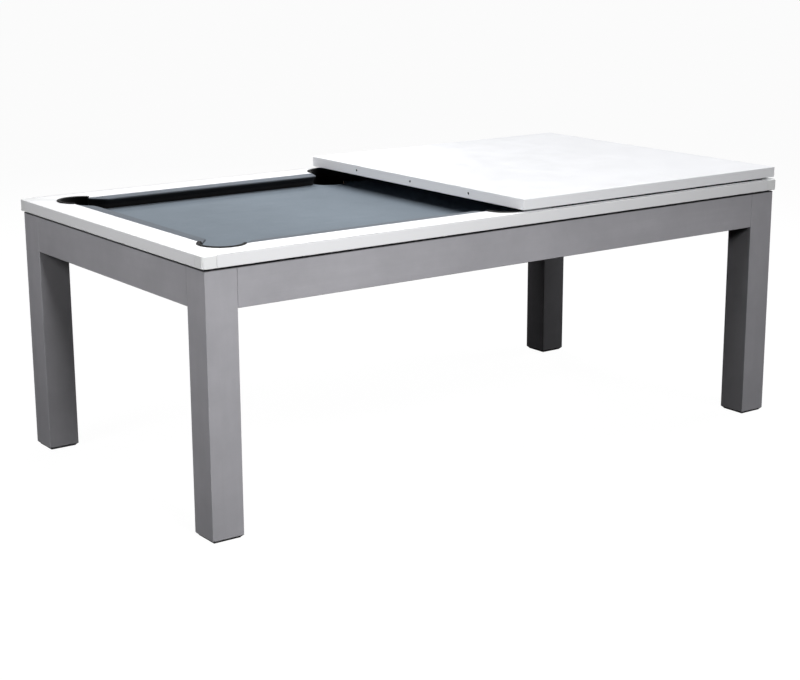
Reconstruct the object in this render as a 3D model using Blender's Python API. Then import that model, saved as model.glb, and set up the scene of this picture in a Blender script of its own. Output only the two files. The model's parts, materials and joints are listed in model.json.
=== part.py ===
"""Dining pool table: post legs, flush aprons, a framed playing bed with six drop pockets,
and one half of its lift-off dining top.

The origin is on the floor under the middle of the table. +X runs along the length, +Y across
the width and +Z up. Front is -Y and left is -X. Most sizes across the frame are distances
inwards from the outer edge of the rails, called "in" below.
"""
import math

import bmesh
import bpy

# Overall sizes
TABLE_LENGTH = 2.100
TABLE_WIDTH = 1.110
RAIL_TOP = 0.769

# Clearances
CLEARANCE = 0.0003
JOINT_GAP = 0.0006
PANEL_GAP = 0.001

# Rails and corner blocks
RAIL_WIDTH = 0.094
RAIL_THICKNESS = 0.034
RAIL_EDGE_ROUND = 0.0020
CORNER_ROUND = 0.010
CORNER_FLAT = 0.030

# Pockets
POCKET_RADIUS = 0.061
CORNER_POCKET_BACK = 0.0715
MIDDLE_POCKET_GAP = 0.001
LINER_WALL = 0.0045
LIP_OVERLAP = 0.0030
LIP_HEIGHT = 0.0030
CUP_DEPTH = 0.073
CUP_WALL = 0.003
CUP_TAB_LENGTH = 0.015
CUP_TAB_WIDTH = 0.020
CUP_TAB_THICKNESS = 0.003
HOLE_CLEARANCE = 0.0003
ARC_STEP = math.radians(10.0)

# Base: legs, foot pads, aprons and the shadow strips on top of them
FRAME_INSET = 0.008
SHADOW_GAP = 0.005
LEG_SIZE = 0.095
LEG_EDGE_ROUND = 0.0015
LEG_FOOT_CHAMFER = 0.005
FOOT_PAD_THICKNESS = 0.003
FOOT_PAD_INSET = 0.007
CUP_RELIEF = 0.0013
APRON_HEIGHT = 0.1075
APRON_THICKNESS = 0.022
APRON_EDGE_ROUND = 0.0010
STRIP_RECESS = 0.008
STRIP_BACK_GAP = 0.001

# Brackets that tie the aprons to the legs
BRACKET_HEIGHT = 0.058
BRACKET_WIDTH = 0.034
BRACKET_THICKNESS = 0.003
BRACKET_DROP = 0.006

# Playing bed, its cloth and the cross beams under it
RAIL_BED_GAP = 0.003
CLOTH_THICKNESS = 0.0012
BED_THICKNESS = 0.022
BEAM_FROM_END = 0.390
BEAM_FROM_MIDDLE = 0.240
BEAM_WIDTH = 0.040
BEAM_HEIGHT = 0.055

# Cushions
CUSHION_WIDTH = 0.045
CUSHION_TOP_DROP = 0.0005
NOSE_DROP = 0.003
NOSE_HEIGHT = 0.008
NOSE_OVERHANG = 0.020
CUSHION_END_GAP = 0.0015
CORNER_END_SLOPE = 1.0
MIDDLE_END_SLOPE = 0.25

# Half of the dining top and the felt strips that it rests on
TOP_INSET = 0.006
TOP_THICKNESS = 0.0325
TOP_GAP = 0.007
TOP_EDGE_ROUND = 0.0020
DOWEL_RADIUS = 0.004
DOWEL_DEPTH = 0.025
DOWEL_SPACING = 0.292
FELT_IN = 0.020
FELT_WIDTH = 0.020
FELT_POCKET_GAP = 0.056
FELT_CORNER_GAP = 0.006
FELT_END_SHORTER = 0.100

# Heights and edges that follow from the sizes above
HALF_LENGTH = TABLE_LENGTH / 2
HALF_WIDTH = TABLE_WIDTH / 2
RAIL_BOTTOM = RAIL_TOP - RAIL_THICKNESS
FRAME_TOP = RAIL_BOTTOM - SHADOW_GAP
APRON_BOTTOM = FRAME_TOP - APRON_HEIGHT
LEG_IN = FRAME_INSET + LEG_SIZE
APRON_IN = FRAME_INSET + APRON_THICKNESS
CORNER_JOINT_IN = CORNER_ROUND + CORNER_FLAT
CORNER_POCKET_IN = CORNER_POCKET_BACK + POCKET_RADIUS
MIDDLE_POCKET_IN = APRON_IN + MIDDLE_POCKET_GAP + POCKET_RADIUS
CLOTH_TOP = RAIL_BOTTOM - RAIL_BED_GAP
BED_TOP = CLOTH_TOP - CLOTH_THICKNESS - CLEARANCE
BED_BOTTOM = BED_TOP - BED_THICKNESS
LINER_RADIUS = POCKET_RADIUS - CLEARANCE
BED_HOLE_RADIUS = POCKET_RADIUS + HOLE_CLEARANCE
LIP_RADIUS = POCKET_RADIUS + LIP_OVERLAP
CUP_TOP = BED_BOTTOM - CLEARANCE
CUP_BOTTOM = CUP_TOP - CUP_DEPTH
NOSE_IN = RAIL_WIDTH + CLEARANCE + CUSHION_WIDTH
TOP_BOTTOM = RAIL_TOP + TOP_GAP

SIDES = {"front": (0, -1), "back": (0, 1), "left": (-1, 0), "right": (1, 0)}
CORNERS = {
    "front_left": (-1, -1),
    "front_right": (1, -1),
    "back_left": (-1, 1),
    "back_right": (1, 1),
}


def clear_scene():
    """Remove every object, so that the model starts from an empty scene."""
    for existing in list(bpy.data.objects):
        bpy.data.objects.remove(existing, do_unlink=True)


def make_material(name, colour, roughness, metallic=0.0):
    """Return a Principled material with one colour."""
    material = bpy.data.materials.new(name)
    material.use_nodes = True
    shader = material.node_tree.nodes["Principled BSDF"]
    shader.inputs["Base Color"].default_value = (*colour, 1.0)
    shader.inputs["Roughness"].default_value = roughness
    shader.inputs["Metallic"].default_value = metallic
    return material


def make_object(name, points, faces, origin, material, smooth=False):
    """Make one closed mesh object whose origin is at a given point, with its faces outwards."""
    mesh = bpy.data.meshes.new(name)
    local = [tuple(point[axis] - origin[axis] for axis in range(3)) for point in points]
    mesh.from_pydata(local, [], faces)
    shell = bmesh.new()
    shell.from_mesh(mesh)
    bmesh.ops.recalc_face_normals(shell, faces=shell.faces)
    shell.to_mesh(mesh)
    shell.free()
    if smooth:
        mesh.shade_smooth()
        mesh.set_sharp_from_angle(angle=math.radians(35.0))
    piece = bpy.data.objects.new(name, mesh)
    piece.location = origin
    bpy.context.scene.collection.objects.link(piece)
    if material is not None:
        mesh.materials.append(material)
    return piece


def make_prism(name, outline, bottom, top, material, smooth=False):
    """Extrude a flat outline from one height to another. Its origin is in the middle of its base."""
    count = len(outline)
    points = [(x, y, bottom) for x, y in outline]
    points += [(x, y, top) for x, y in outline]
    faces = [tuple(range(count)), tuple(range(count, 2 * count))]
    for index in range(count):
        following = (index + 1) % count
        faces.append((index, following, count + following, count + index))
    xs = [x for x, y in outline]
    ys = [y for x, y in outline]
    origin = ((min(xs) + max(xs)) / 2, (min(ys) + max(ys)) / 2, bottom)
    return make_object(name, points, faces, origin, material, smooth)


def make_box(name, low, high, material):
    """Make a box between two corners."""
    outline = [(low[0], low[1]), (high[0], low[1]), (high[0], high[1]), (low[0], high[1])]
    return make_prism(name, outline, low[2], high[2], material)


def make_turned(name, centre, profile, place, material, start=0.0, end=2 * math.pi):
    """Turn a profile of (radius, height) points about a vertical axis.

    A full turn takes an open profile that starts and ends on the axis. A part turn takes a
    closed profile off the axis, and both of its ends are filled.
    """
    full = end - start > 2 * math.pi - 1e-6
    steps = math.ceil((end - start) / ARC_STEP)
    columns = steps if full else steps + 1
    points = []
    rings = []
    for radius, height in profile:
        if radius == 0.0:
            points.append((*place(*centre), height))
            rings.append([len(points) - 1] * columns)
            continue
        ring = []
        for column in range(columns):
            angle = start + (end - start) * column / steps
            u = centre[0] + radius * math.cos(angle)
            v = centre[1] + radius * math.sin(angle)
            points.append((*place(u, v), height))
            ring.append(len(points) - 1)
        rings.append(ring)
    pairs = list(zip(rings, rings[1:]))
    faces = []
    if not full:
        pairs.append((rings[-1], rings[0]))
        faces.append(tuple(ring[0] for ring in rings))
        faces.append(tuple(ring[-1] for ring in rings))
    for first, second in pairs:
        for column in range(steps):
            following = (column + 1) % columns
            face = [first[column], first[following], second[following], second[column]]
            face = list(dict.fromkeys(face))
            if len(face) > 2:
                faces.append(tuple(face))
    x, y = place(*centre)
    origin = (x, y, min(height for radius, height in profile))
    return make_object(name, points, faces, origin, material, smooth=True)


def round_edges(piece, width, segments=2):
    """Round the sharp edges of a piece with a Bevel modifier."""
    bevel = piece.modifiers.new("edge_round", "BEVEL")
    bevel.width = width
    bevel.segments = segments
    bevel.limit_method = "ANGLE"
    bevel.angle_limit = math.radians(40.0)


def apply_boolean(piece, tool, operation):
    """Cut a piece with a tool, or join the tool to it. The tool stays as a hidden guide."""
    tool.hide_render = True
    tool.display_type = "WIRE"
    boolean = piece.modifiers.new(operation.lower(), "BOOLEAN")
    boolean.operation = operation
    boolean.solver = "EXACT"
    boolean.object = tool


def arc(centre, radius, start, end):
    """Return points on an arc between two angles, ends included."""
    steps = max(2, math.ceil(abs(end - start) / ARC_STEP))
    return [
        (
            centre[0] + radius * math.cos(start + (end - start) * step / steps),
            centre[1] + radius * math.sin(start + (end - start) * step / steps),
        )
        for step in range(steps + 1)
    ]


def side_place(side):
    """Return the map from (along, in) on a side of the table to (x, y)."""
    sign_x, sign_y = SIDES[side]
    if sign_y:
        return lambda along, inwards: (along, sign_y * (HALF_WIDTH - inwards))
    return lambda along, inwards: (sign_x * (HALF_LENGTH - inwards), along)


def corner_place(corner):
    """Return the map from (in from the end, in from the side) at a corner to (x, y)."""
    sign_x, sign_y = CORNERS[corner]
    return lambda u, v: (sign_x * (HALF_LENGTH - u), sign_y * (HALF_WIDTH - v))


def half_span(side):
    """Return half the length of a side."""
    return HALF_LENGTH if SIDES[side][1] else HALF_WIDTH


def corner_joint(offset):
    """Return both ends of the joint between a rail and its corner block, moved sideways.

    The joint points at the middle of the corner pocket. Its outer end is on the rail's outer
    edge and its inner end is on the pocket's cut. A positive offset is towards the rail.
    """
    angle = math.atan2(-CORNER_POCKET_IN, CORNER_JOINT_IN - CORNER_POCKET_IN)
    along = (math.cos(angle), math.sin(angle))
    across = (-along[1], along[0])
    base = (CORNER_POCKET_IN + across[0] * offset, CORNER_POCKET_IN + across[1] * offset)
    reach = -base[1] / along[1]
    outer = (base[0] + along[0] * reach, 0.0)
    inner_reach = math.sqrt(POCKET_RADIUS**2 - offset**2)
    inner = (base[0] + along[0] * inner_reach, base[1] + along[1] * inner_reach)
    return outer, inner


def pocket_end_angle(pocket_in):
    """Return the angle at which a pocket's cut meets the inner edge of the rail."""
    return math.asin((RAIL_WIDTH - pocket_in) / POCKET_RADIUS)


def angle_of(point, centre):
    """Return the direction of a point as seen from a centre."""
    return math.atan2(point[1] - centre[1], point[0] - centre[0])


def make_rail(side, material):
    """Make one rail, with its share of the corner cuts, and the middle cut on a long side."""
    half = half_span(side)
    corner = (CORNER_POCKET_IN, CORNER_POCKET_IN)
    outer, inner = corner_joint(JOINT_GAP / 2)
    cut = arc(corner, POCKET_RADIUS, angle_of(inner, corner), pocket_end_angle(CORNER_POCKET_IN))
    left = [(u - half, v) for u, v in [outer] + cut]
    middle = []
    if side in ("front", "back"):
        turn = pocket_end_angle(MIDDLE_POCKET_IN)
        middle = arc((0.0, MIDDLE_POCKET_IN), POCKET_RADIUS, math.pi - turn, 2 * math.pi + turn)
    right = [(-along, inwards) for along, inwards in reversed(left)]
    place = side_place(side)
    outline = [place(*point) for point in left + middle + right]
    rail = make_prism(f"rail_{side}", outline, RAIL_BOTTOM, RAIL_TOP, material)
    round_edges(rail, RAIL_EDGE_ROUND)
    return rail


def make_corner_block(corner, material):
    """Make the rounded corner piece between two rails."""
    centre = (CORNER_POCKET_IN, CORNER_POCKET_IN)
    outer, inner = corner_joint(-JOINT_GAP / 2)
    round_centre = (CORNER_ROUND, CORNER_ROUND)
    nose = arc(round_centre, CORNER_ROUND, -math.pi / 2, -math.pi)
    other_inner = (inner[1], inner[0])
    start = angle_of(other_inner, centre)
    cut = arc(centre, POCKET_RADIUS, start, angle_of(inner, centre))
    place = corner_place(corner)
    outline = [place(*point) for point in [outer] + nose + [(0.0, outer[0])] + cut]
    block = make_prism(f"corner_block_{corner}", outline, RAIL_BOTTOM, RAIL_TOP, material)
    round_edges(block, RAIL_EDGE_ROUND)
    return block


def make_pocket(name, centre, place, start, end, tab_angles, material):
    """Make a pocket's liner, which lines the rail cut, and the cup that hangs under the bed."""
    inner = LINER_RADIUS - LINER_WALL
    lip_bottom = RAIL_TOP + CLEARANCE
    lip_top = RAIL_TOP + LIP_HEIGHT
    wall = [
        (inner, BED_BOTTOM),
        (LINER_RADIUS, BED_BOTTOM),
        (LINER_RADIUS, lip_bottom),
        (LIP_RADIUS, lip_bottom),
        (LIP_RADIUS, lip_top - LIP_HEIGHT / 3),
        (LIP_RADIUS - LIP_HEIGHT / 3, lip_top),
        (inner + LIP_HEIGHT / 3, lip_top),
        (inner, lip_top - LIP_HEIGHT / 3),
    ]
    make_turned(f"pocket_liner_{name}", centre, wall, place, material, start, end)
    inside = LINER_RADIUS - CUP_WALL
    shell = [
        (0.0, CUP_BOTTOM + CUP_WALL),
        (inside, CUP_BOTTOM + CUP_WALL),
        (inside, CUP_TOP),
        (LINER_RADIUS, CUP_TOP),
        (LINER_RADIUS, CUP_BOTTOM),
        (0.0, CUP_BOTTOM),
    ]
    cup = make_turned(f"pocket_cup_{name}", centre, shell, place, material)
    for angle in tab_angles:
        along = (math.cos(angle), math.sin(angle))
        across = (-along[1], along[0])
        near = inside + CUP_WALL / 3
        far = LINER_RADIUS + CUP_TAB_LENGTH
        outline = []
        for reach, sideways in ((near, -1), (far, -1), (far, 1), (near, 1)):
            u = centre[0] + along[0] * reach + across[0] * sideways * CUP_TAB_WIDTH / 2
            v = centre[1] + along[1] * reach + across[1] * sideways * CUP_TAB_WIDTH / 2
            outline.append(place(u, v))
        tab_name = f"guide_tab_{name}_{len(cup.modifiers)}"
        tab = make_prism(tab_name, outline, CUP_TOP - CUP_TAB_THICKNESS, CUP_TOP, None)
        apply_boolean(cup, tab, "UNION")


def make_cushion(side, part, material):
    """Make one cushion: a wedge profile along the rail, its ends sloping into the pockets."""
    half = half_span(side)
    corner_reach = math.sqrt(POCKET_RADIUS**2 - (CORNER_POCKET_IN - RAIL_WIDTH) ** 2)
    corner_start = half - CORNER_POCKET_IN - corner_reach - CUSHION_END_GAP
    middle_reach = math.sqrt(POCKET_RADIUS**2 - (RAIL_WIDTH - MIDDLE_POCKET_IN) ** 2)
    ends = {
        "left": ((-corner_start, CORNER_END_SLOPE), (-middle_reach - CUSHION_END_GAP, -MIDDLE_END_SLOPE)),
        "right": ((middle_reach + CUSHION_END_GAP, MIDDLE_END_SLOPE), (corner_start, -CORNER_END_SLOPE)),
        "": ((-corner_start, CORNER_END_SLOPE), (corner_start, -CORNER_END_SLOPE)),
    }[part]
    back = RAIL_WIDTH + CLEARANCE
    bottom = CLOTH_TOP + CLEARANCE
    nose_top = RAIL_TOP - NOSE_DROP
    profile = [
        (back, bottom),
        (NOSE_IN - NOSE_OVERHANG, bottom),
        (NOSE_IN, nose_top - NOSE_HEIGHT),
        (NOSE_IN, nose_top),
        (back, RAIL_TOP - CUSHION_TOP_DROP),
    ]
    place = side_place(side)
    count = len(profile)
    points = []
    for start, slope in ends:
        for inwards, height in profile:
            points.append((*place(start + slope * (inwards - back), inwards), height))
    faces = [tuple(range(count)), tuple(range(count, 2 * count))]
    for index in range(count):
        following = (index + 1) % count
        faces.append((index, following, count + following, count + index))
    middle = (ends[0][0] + ends[1][0]) / 2
    origin = (*place(middle, back), bottom)
    name = f"cushion_{side}_{part}" if part else f"cushion_{side}"
    return make_object(name, points, faces, origin, material)


def bed_outline(gap):
    """Return the bed's outline: inside the aprons, round the legs and the six pocket holes.

    The gap is from the bed's edge to the aprons and legs.
    """
    edge = APRON_IN + gap
    leg = LEG_IN + gap
    centre = (CORNER_POCKET_IN, CORNER_POCKET_IN)
    drop = math.sqrt(BED_HOLE_RADIUS**2 - (CORNER_POCKET_IN - leg) ** 2)
    entry = math.atan2(-drop, leg - CORNER_POCKET_IN)
    hole = arc(centre, BED_HOLE_RADIUS, math.pi / 2 - entry, entry)
    corner = [(edge, leg)] + hole + [(leg, edge)]
    half_hole = arc((0.0, MIDDLE_POCKET_IN), BED_HOLE_RADIUS, math.pi, 0.0)
    middle = [(-BED_HOLE_RADIUS, edge)] + half_hole + [(BED_HOLE_RADIUS, edge)]
    front = [(u - HALF_LENGTH, v) for u, v in corner]
    front += middle
    front += [(HALF_LENGTH - u, v) for u, v in reversed(corner)]
    outline = [(along, inwards - HALF_WIDTH) for along, inwards in front]
    outline += [(-x, -y) for x, y in outline]
    return outline


def make_bed(bed_material, cloth_material, beam_material):
    """Make the bed panel, the cloth stretched over it and the cross beams under it."""
    make_prism("bed_panel", bed_outline(PANEL_GAP), BED_BOTTOM, BED_TOP, bed_material)
    cloth_bottom = BED_TOP + CLEARANCE
    make_prism("bed_cloth", bed_outline(PANEL_GAP), cloth_bottom, CLOTH_TOP, cloth_material)
    reach = HALF_WIDTH - APRON_IN - CLEARANCE
    beam_top = BED_BOTTOM - CLEARANCE
    outer = HALF_LENGTH - BEAM_FROM_END
    positions = (-outer, -BEAM_FROM_MIDDLE, BEAM_FROM_MIDDLE, outer)
    for number, x in enumerate(positions, start=1):
        low = (x - BEAM_WIDTH / 2, -reach, beam_top - BEAM_HEIGHT)
        high = (x + BEAM_WIDTH / 2, reach, beam_top)
        make_box(f"cross_beam_{number}", low, high, beam_material)


def make_leg(corner, paint, pad_material):
    """Make a square leg, chamfered at the foot, with a scoop at the top for the pocket cup.

    The scoop's round wall takes the place of the leg's inner corner. Both outlines share the
    points on the other three corners and the two points where the scoop meets the sides.
    """
    low = FRAME_INSET
    high = LEG_IN
    turn = LEG_EDGE_ROUND
    centre = (CORNER_POCKET_IN, CORNER_POCKET_IN)
    radius = LINER_RADIUS + CUP_RELIEF
    entry = math.asin((high - CORNER_POCKET_IN) / radius)
    wall = arc(centre, radius, -math.pi - entry, entry - math.pi / 2)
    shared = [wall[-1]]
    shared += arc((high - turn, low + turn), turn, 0.0, -math.pi / 2)
    shared += arc((low + turn, low + turn), turn, -math.pi / 2, -math.pi)
    shared += arc((low + turn, high - turn), turn, math.pi, math.pi / 2)
    shared += [wall[0]]
    inner = arc((high - turn, high - turn), turn, math.pi / 2, 0.0)
    middle = (low + high) / 2
    shrink = 1.0 - 2 * LEG_FOOT_CHAMFER / LEG_SIZE
    foot = [(middle + (u - middle) * shrink, middle + (v - middle) * shrink) for u, v in shared + inner]
    chamfer_top = FOOT_PAD_THICKNESS + LEG_FOOT_CHAMFER
    scoop_bottom = CUP_BOTTOM - CUP_RELIEF

    points = []
    place = corner_place(corner)

    def add_ring(ring, height):
        """Add a ring of points and return their numbers."""
        first = len(points)
        points.extend((*place(u, v), height) for u, v in ring)
        return list(range(first, len(points)))

    foot_ring = add_ring(foot, FOOT_PAD_THICKNESS)
    lower_ring = add_ring(shared + inner, chamfer_top)
    step_ring = add_ring(shared + inner, scoop_bottom)
    wall_ring = step_ring[: len(shared)] + add_ring(wall[1:-1], scoop_bottom)
    top_ring = add_ring(shared + wall[1:-1], FRAME_TOP)
    ledge = [step_ring[len(shared) - 1]] + step_ring[len(shared) :] + [step_ring[0]]
    ledge += reversed(wall_ring[len(shared) :])
    faces = [foot_ring, top_ring, ledge]
    for below, above in ((foot_ring, lower_ring), (lower_ring, step_ring), (wall_ring, top_ring)):
        for index in range(len(below)):
            following = (index + 1) % len(below)
            faces.append((below[index], below[following], above[following], above[index]))
    origin = (*place(middle, middle), FOOT_PAD_THICKNESS)
    make_object(f"leg_{corner}", points, faces, origin, paint)

    pad_ends = (low + FOOT_PAD_INSET, high - FOOT_PAD_INSET)
    (x_low, x_high), (y_low, y_high) = (sorted(pair) for pair in zip(*(place(end, end) for end in pad_ends)))
    pad_top = FOOT_PAD_THICKNESS - CLEARANCE
    make_box(f"foot_pad_{corner}", (x_low, y_low, 0.0), (x_high, y_high, pad_top), pad_material)


def make_apron(side, paint):
    """Make the board between two legs, flush with their outer faces."""
    place = side_place(side)
    reach = half_span(side) - LEG_IN - CLEARANCE
    outline = [
        place(-reach, FRAME_INSET),
        place(reach, FRAME_INSET),
        place(reach, APRON_IN),
        place(-reach, APRON_IN),
    ]
    apron = make_prism(f"apron_{side}", outline, APRON_BOTTOM, FRAME_TOP, paint)
    round_edges(apron, APRON_EDGE_ROUND, segments=1)


def make_shadow_strip(side, material):
    """Make the black strip that carries the rails and leaves the shadow gap under them."""
    place = side_place(side)
    near = FRAME_INSET + STRIP_RECESS
    far = APRON_IN - STRIP_BACK_GAP
    trim = near if side in ("front", "back") else far + CLEARANCE
    reach = half_span(side) - trim
    outline = [place(-reach, near), place(reach, near), place(reach, far), place(-reach, far)]
    make_prism(f"shadow_strip_{side}", outline, FRAME_TOP + CLEARANCE, RAIL_BOTTOM - CLEARANCE, material)


def make_brackets(corner, steel):
    """Make the two angle brackets that hold a long and a short apron to one leg."""
    place = corner_place(corner)
    near = APRON_IN + CLEARANCE
    leg = LEG_IN + CLEARANCE
    inner = near + BRACKET_THICKNESS
    inner_leg = leg + BRACKET_THICKNESS
    angle = [
        (leg, near),
        (leg + BRACKET_WIDTH, near),
        (leg + BRACKET_WIDTH, inner),
        (inner_leg, inner),
        (inner_leg, near + BRACKET_WIDTH),
        (leg, near + BRACKET_WIDTH),
    ]
    top = BED_BOTTOM - BRACKET_DROP
    long_outline = [place(u, v) for u, v in angle]
    make_prism(f"bracket_long_{corner}", long_outline, top - BRACKET_HEIGHT, top, steel)
    short_outline = [place(v, u) for u, v in angle]
    make_prism(f"bracket_short_{corner}", short_outline, top - BRACKET_HEIGHT, top, steel)


def make_dining_top(white, felt):
    """Make the right half of the dining top, with dowel holes in its inner edge, and its felts."""
    reach_x = HALF_LENGTH - TOP_INSET
    reach_y = HALF_WIDTH - TOP_INSET
    low = (0.0, -reach_y, TOP_BOTTOM)
    high = (reach_x, reach_y, TOP_BOTTOM + TOP_THICKNESS)
    panel = make_box("dining_top_right", low, high, white)
    round_edges(panel, TOP_EDGE_ROUND)
    height = TOP_BOTTOM + TOP_THICKNESS / 2
    for number, y in enumerate((-DOWEL_SPACING, 0.0, DOWEL_SPACING), start=1):
        circle = arc((y, height), DOWEL_RADIUS, 0.0, 2 * math.pi)[:-1:3]
        count = len(circle)
        points = [(-DOWEL_DEPTH, *point) for point in circle]
        points += [(DOWEL_DEPTH, *point) for point in circle]
        faces = [tuple(range(count)), tuple(range(count, 2 * count))]
        for index in range(count):
            following = (index + 1) % count
            faces.append((index, following, count + following, count + index))
        drill = make_object(f"guide_drill_{number}", points, faces, (0.0, y, height), None)
        apply_boolean(panel, drill, "DIFFERENCE")
    bottom = RAIL_TOP + CLEARANCE
    top = TOP_BOTTOM - CLEARANCE
    felt_start = LIP_RADIUS + FELT_POCKET_GAP
    felt_end = HALF_LENGTH - FELT_IN - FELT_WIDTH - FELT_CORNER_GAP
    for side in ("front", "back"):
        place = side_place(side)
        corners = (place(felt_start, FELT_IN), place(felt_end, FELT_IN + FELT_WIDTH))
        ys = sorted(corner[1] for corner in corners)
        make_box(f"top_felt_{side}", (felt_start, ys[0], bottom), (felt_end, ys[1], top), felt)
    reach = HALF_WIDTH - FELT_END_SHORTER
    low = (HALF_LENGTH - FELT_IN - FELT_WIDTH, -reach, bottom)
    high = (HALF_LENGTH - FELT_IN, reach, top)
    make_box("top_felt_end", low, high, felt)


def build():
    """Make every piece of the table."""
    clear_scene()
    grey_paint = make_material("grey_paint", (0.300, 0.297, 0.318), 0.45)
    white_lacquer = make_material("white_lacquer", (0.820, 0.825, 0.840), 0.35)
    blue_grey_cloth = make_material("blue_grey_cloth", (0.220, 0.275, 0.330), 0.90)
    pocket_rubber = make_material("pocket_rubber", (0.012, 0.012, 0.013), 0.50)
    bed_board = make_material("bed_board", (0.330, 0.240, 0.160), 0.75)
    beam_wood = make_material("beam_wood", (0.520, 0.380, 0.220), 0.70)
    black_strip = make_material("black_strip", (0.010, 0.010, 0.011), 0.70)
    bracket_steel = make_material("bracket_steel", (0.560, 0.560, 0.570), 0.35, 1.0)
    black_felt = make_material("black_felt", (0.015, 0.015, 0.016), 0.95)

    for corner in CORNERS:
        make_leg(corner, grey_paint, black_felt)
        make_brackets(corner, bracket_steel)
        make_corner_block(corner, white_lacquer)
        turn = pocket_end_angle(CORNER_POCKET_IN)
        make_pocket(
            corner,
            (CORNER_POCKET_IN, CORNER_POCKET_IN),
            corner_place(corner),
            math.pi / 2 - turn,
            2 * math.pi + turn,
            (0.0, math.pi / 2),
            pocket_rubber,
        )
    for side in SIDES:
        make_apron(side, grey_paint)
        make_shadow_strip(side, black_strip)
        make_rail(side, white_lacquer)
    for side in ("front", "back"):
        turn = pocket_end_angle(MIDDLE_POCKET_IN)
        make_pocket(
            f"{side}_middle",
            (0.0, MIDDLE_POCKET_IN),
            side_place(side),
            math.pi - turn,
            2 * math.pi + turn,
            (0.0, math.pi),
            pocket_rubber,
        )
        make_cushion(side, "left", blue_grey_cloth)
        make_cushion(side, "right", blue_grey_cloth)
    make_cushion("left", "", blue_grey_cloth)
    make_cushion("right", "", blue_grey_cloth)
    make_bed(bed_board, blue_grey_cloth, beam_wood)
    make_dining_top(white_lacquer, black_felt)


build()
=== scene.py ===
"""Finish of a dining pool table: cloth, cushions, rails, pockets, screws and every surface.

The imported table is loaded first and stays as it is. New pieces take their places from its
nodes. Run as a script it builds everything, and its panel lists the same steps by hand.
"""
import json
import math

import bmesh
import bpy
import numpy as np
from mathutils import Matrix, Vector

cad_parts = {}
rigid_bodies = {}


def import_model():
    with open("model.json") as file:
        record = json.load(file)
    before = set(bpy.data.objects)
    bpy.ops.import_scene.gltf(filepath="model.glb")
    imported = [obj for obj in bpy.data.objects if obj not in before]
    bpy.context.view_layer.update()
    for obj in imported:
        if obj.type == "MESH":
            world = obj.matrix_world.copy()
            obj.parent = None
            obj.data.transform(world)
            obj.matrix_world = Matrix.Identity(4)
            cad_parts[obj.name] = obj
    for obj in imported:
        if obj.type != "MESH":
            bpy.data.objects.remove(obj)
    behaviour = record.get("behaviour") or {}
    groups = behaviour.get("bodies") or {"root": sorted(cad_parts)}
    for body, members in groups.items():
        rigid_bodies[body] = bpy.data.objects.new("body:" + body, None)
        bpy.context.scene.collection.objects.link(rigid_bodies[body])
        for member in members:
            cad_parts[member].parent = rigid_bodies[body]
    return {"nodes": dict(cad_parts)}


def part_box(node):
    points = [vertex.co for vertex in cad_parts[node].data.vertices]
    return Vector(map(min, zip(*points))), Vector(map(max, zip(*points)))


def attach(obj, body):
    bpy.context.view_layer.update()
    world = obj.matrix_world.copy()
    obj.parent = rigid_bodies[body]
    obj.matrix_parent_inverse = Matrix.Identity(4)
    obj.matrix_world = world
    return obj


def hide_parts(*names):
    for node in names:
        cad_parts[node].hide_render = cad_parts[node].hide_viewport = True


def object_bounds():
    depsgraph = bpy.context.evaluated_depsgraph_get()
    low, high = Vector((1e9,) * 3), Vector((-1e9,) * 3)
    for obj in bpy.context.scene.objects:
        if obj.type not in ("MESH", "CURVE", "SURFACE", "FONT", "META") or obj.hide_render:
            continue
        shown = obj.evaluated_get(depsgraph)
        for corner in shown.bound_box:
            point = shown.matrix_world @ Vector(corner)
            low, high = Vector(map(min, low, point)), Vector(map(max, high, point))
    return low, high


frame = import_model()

bl_info = {
    "name": "Dining Pool Table",
    "version": (1, 0, 0),
    "blender": (4, 5, 0),
    "location": "3D View > Sidebar > Pool Table",
    "description": "Cloth, cushions, rails, pockets and finishes of a dining pool table",
    "category": "Add Mesh",
}

CAD_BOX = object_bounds()
TABLE_BODY = "table"

SIDES = {"front": (0, -1), "back": (0, 1), "left": (-1, 0), "right": (1, 0)}
CORNERS = {
    "front_left": (-1, -1),
    "front_right": (1, -1),
    "back_left": (-1, 1),
    "back_right": (1, 1),
}
CUSHIONS = (
    ("front", "left"),
    ("front", "right"),
    ("back", "left"),
    ("back", "right"),
    ("left", ""),
    ("right", ""),
)

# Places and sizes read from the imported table
HALF_LENGTH = CAD_BOX[1].x
HALF_WIDTH = CAD_BOX[1].y
RAIL_LOW, RAIL_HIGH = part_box("rail_front")
RAIL_BOTTOM = RAIL_LOW.z
RAIL_TOP = RAIL_HIGH.z
RAIL_WIDTH = RAIL_HIGH.y - RAIL_LOW.y
CUP_LOW, CUP_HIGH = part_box("pocket_cup_front_middle")
CUP_RADIUS = (CUP_HIGH.y - CUP_LOW.y) / 2
CORNER_POCKET_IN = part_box("pocket_cup_front_left")[0].x + HALF_LENGTH + CUP_RADIUS
MIDDLE_POCKET_IN = (CUP_LOW.y + CUP_HIGH.y) / 2 + HALF_WIDTH
CUSHION_LOW, CUSHION_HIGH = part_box("cushion_left")
CUSHION_REACH = CUSHION_HIGH.x - CUSHION_LOW.x
CLOTH_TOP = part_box("bed_cloth")[1].z
BED_EDGE_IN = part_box("bed_panel")[0].x + HALF_LENGTH
LEG_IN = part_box("leg_front_left")[1].x + HALF_LENGTH
APRON_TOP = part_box("apron_front")[1].z
LINER_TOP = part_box("pocket_liner_front_middle")[1].z

# Clearances between the finished pieces, in metres
GAP = 0.0003
POCKET_RADIUS = CUP_RADIUS + GAP
HOLE_RADIUS = POCKET_RADIUS + GAP

# How finely the surfaces are made, in metres and radians
SUPPORT = 0.0006
FINE_ARC = math.radians(3.0)
STRAIGHT_COSINE = 0.9995

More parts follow.
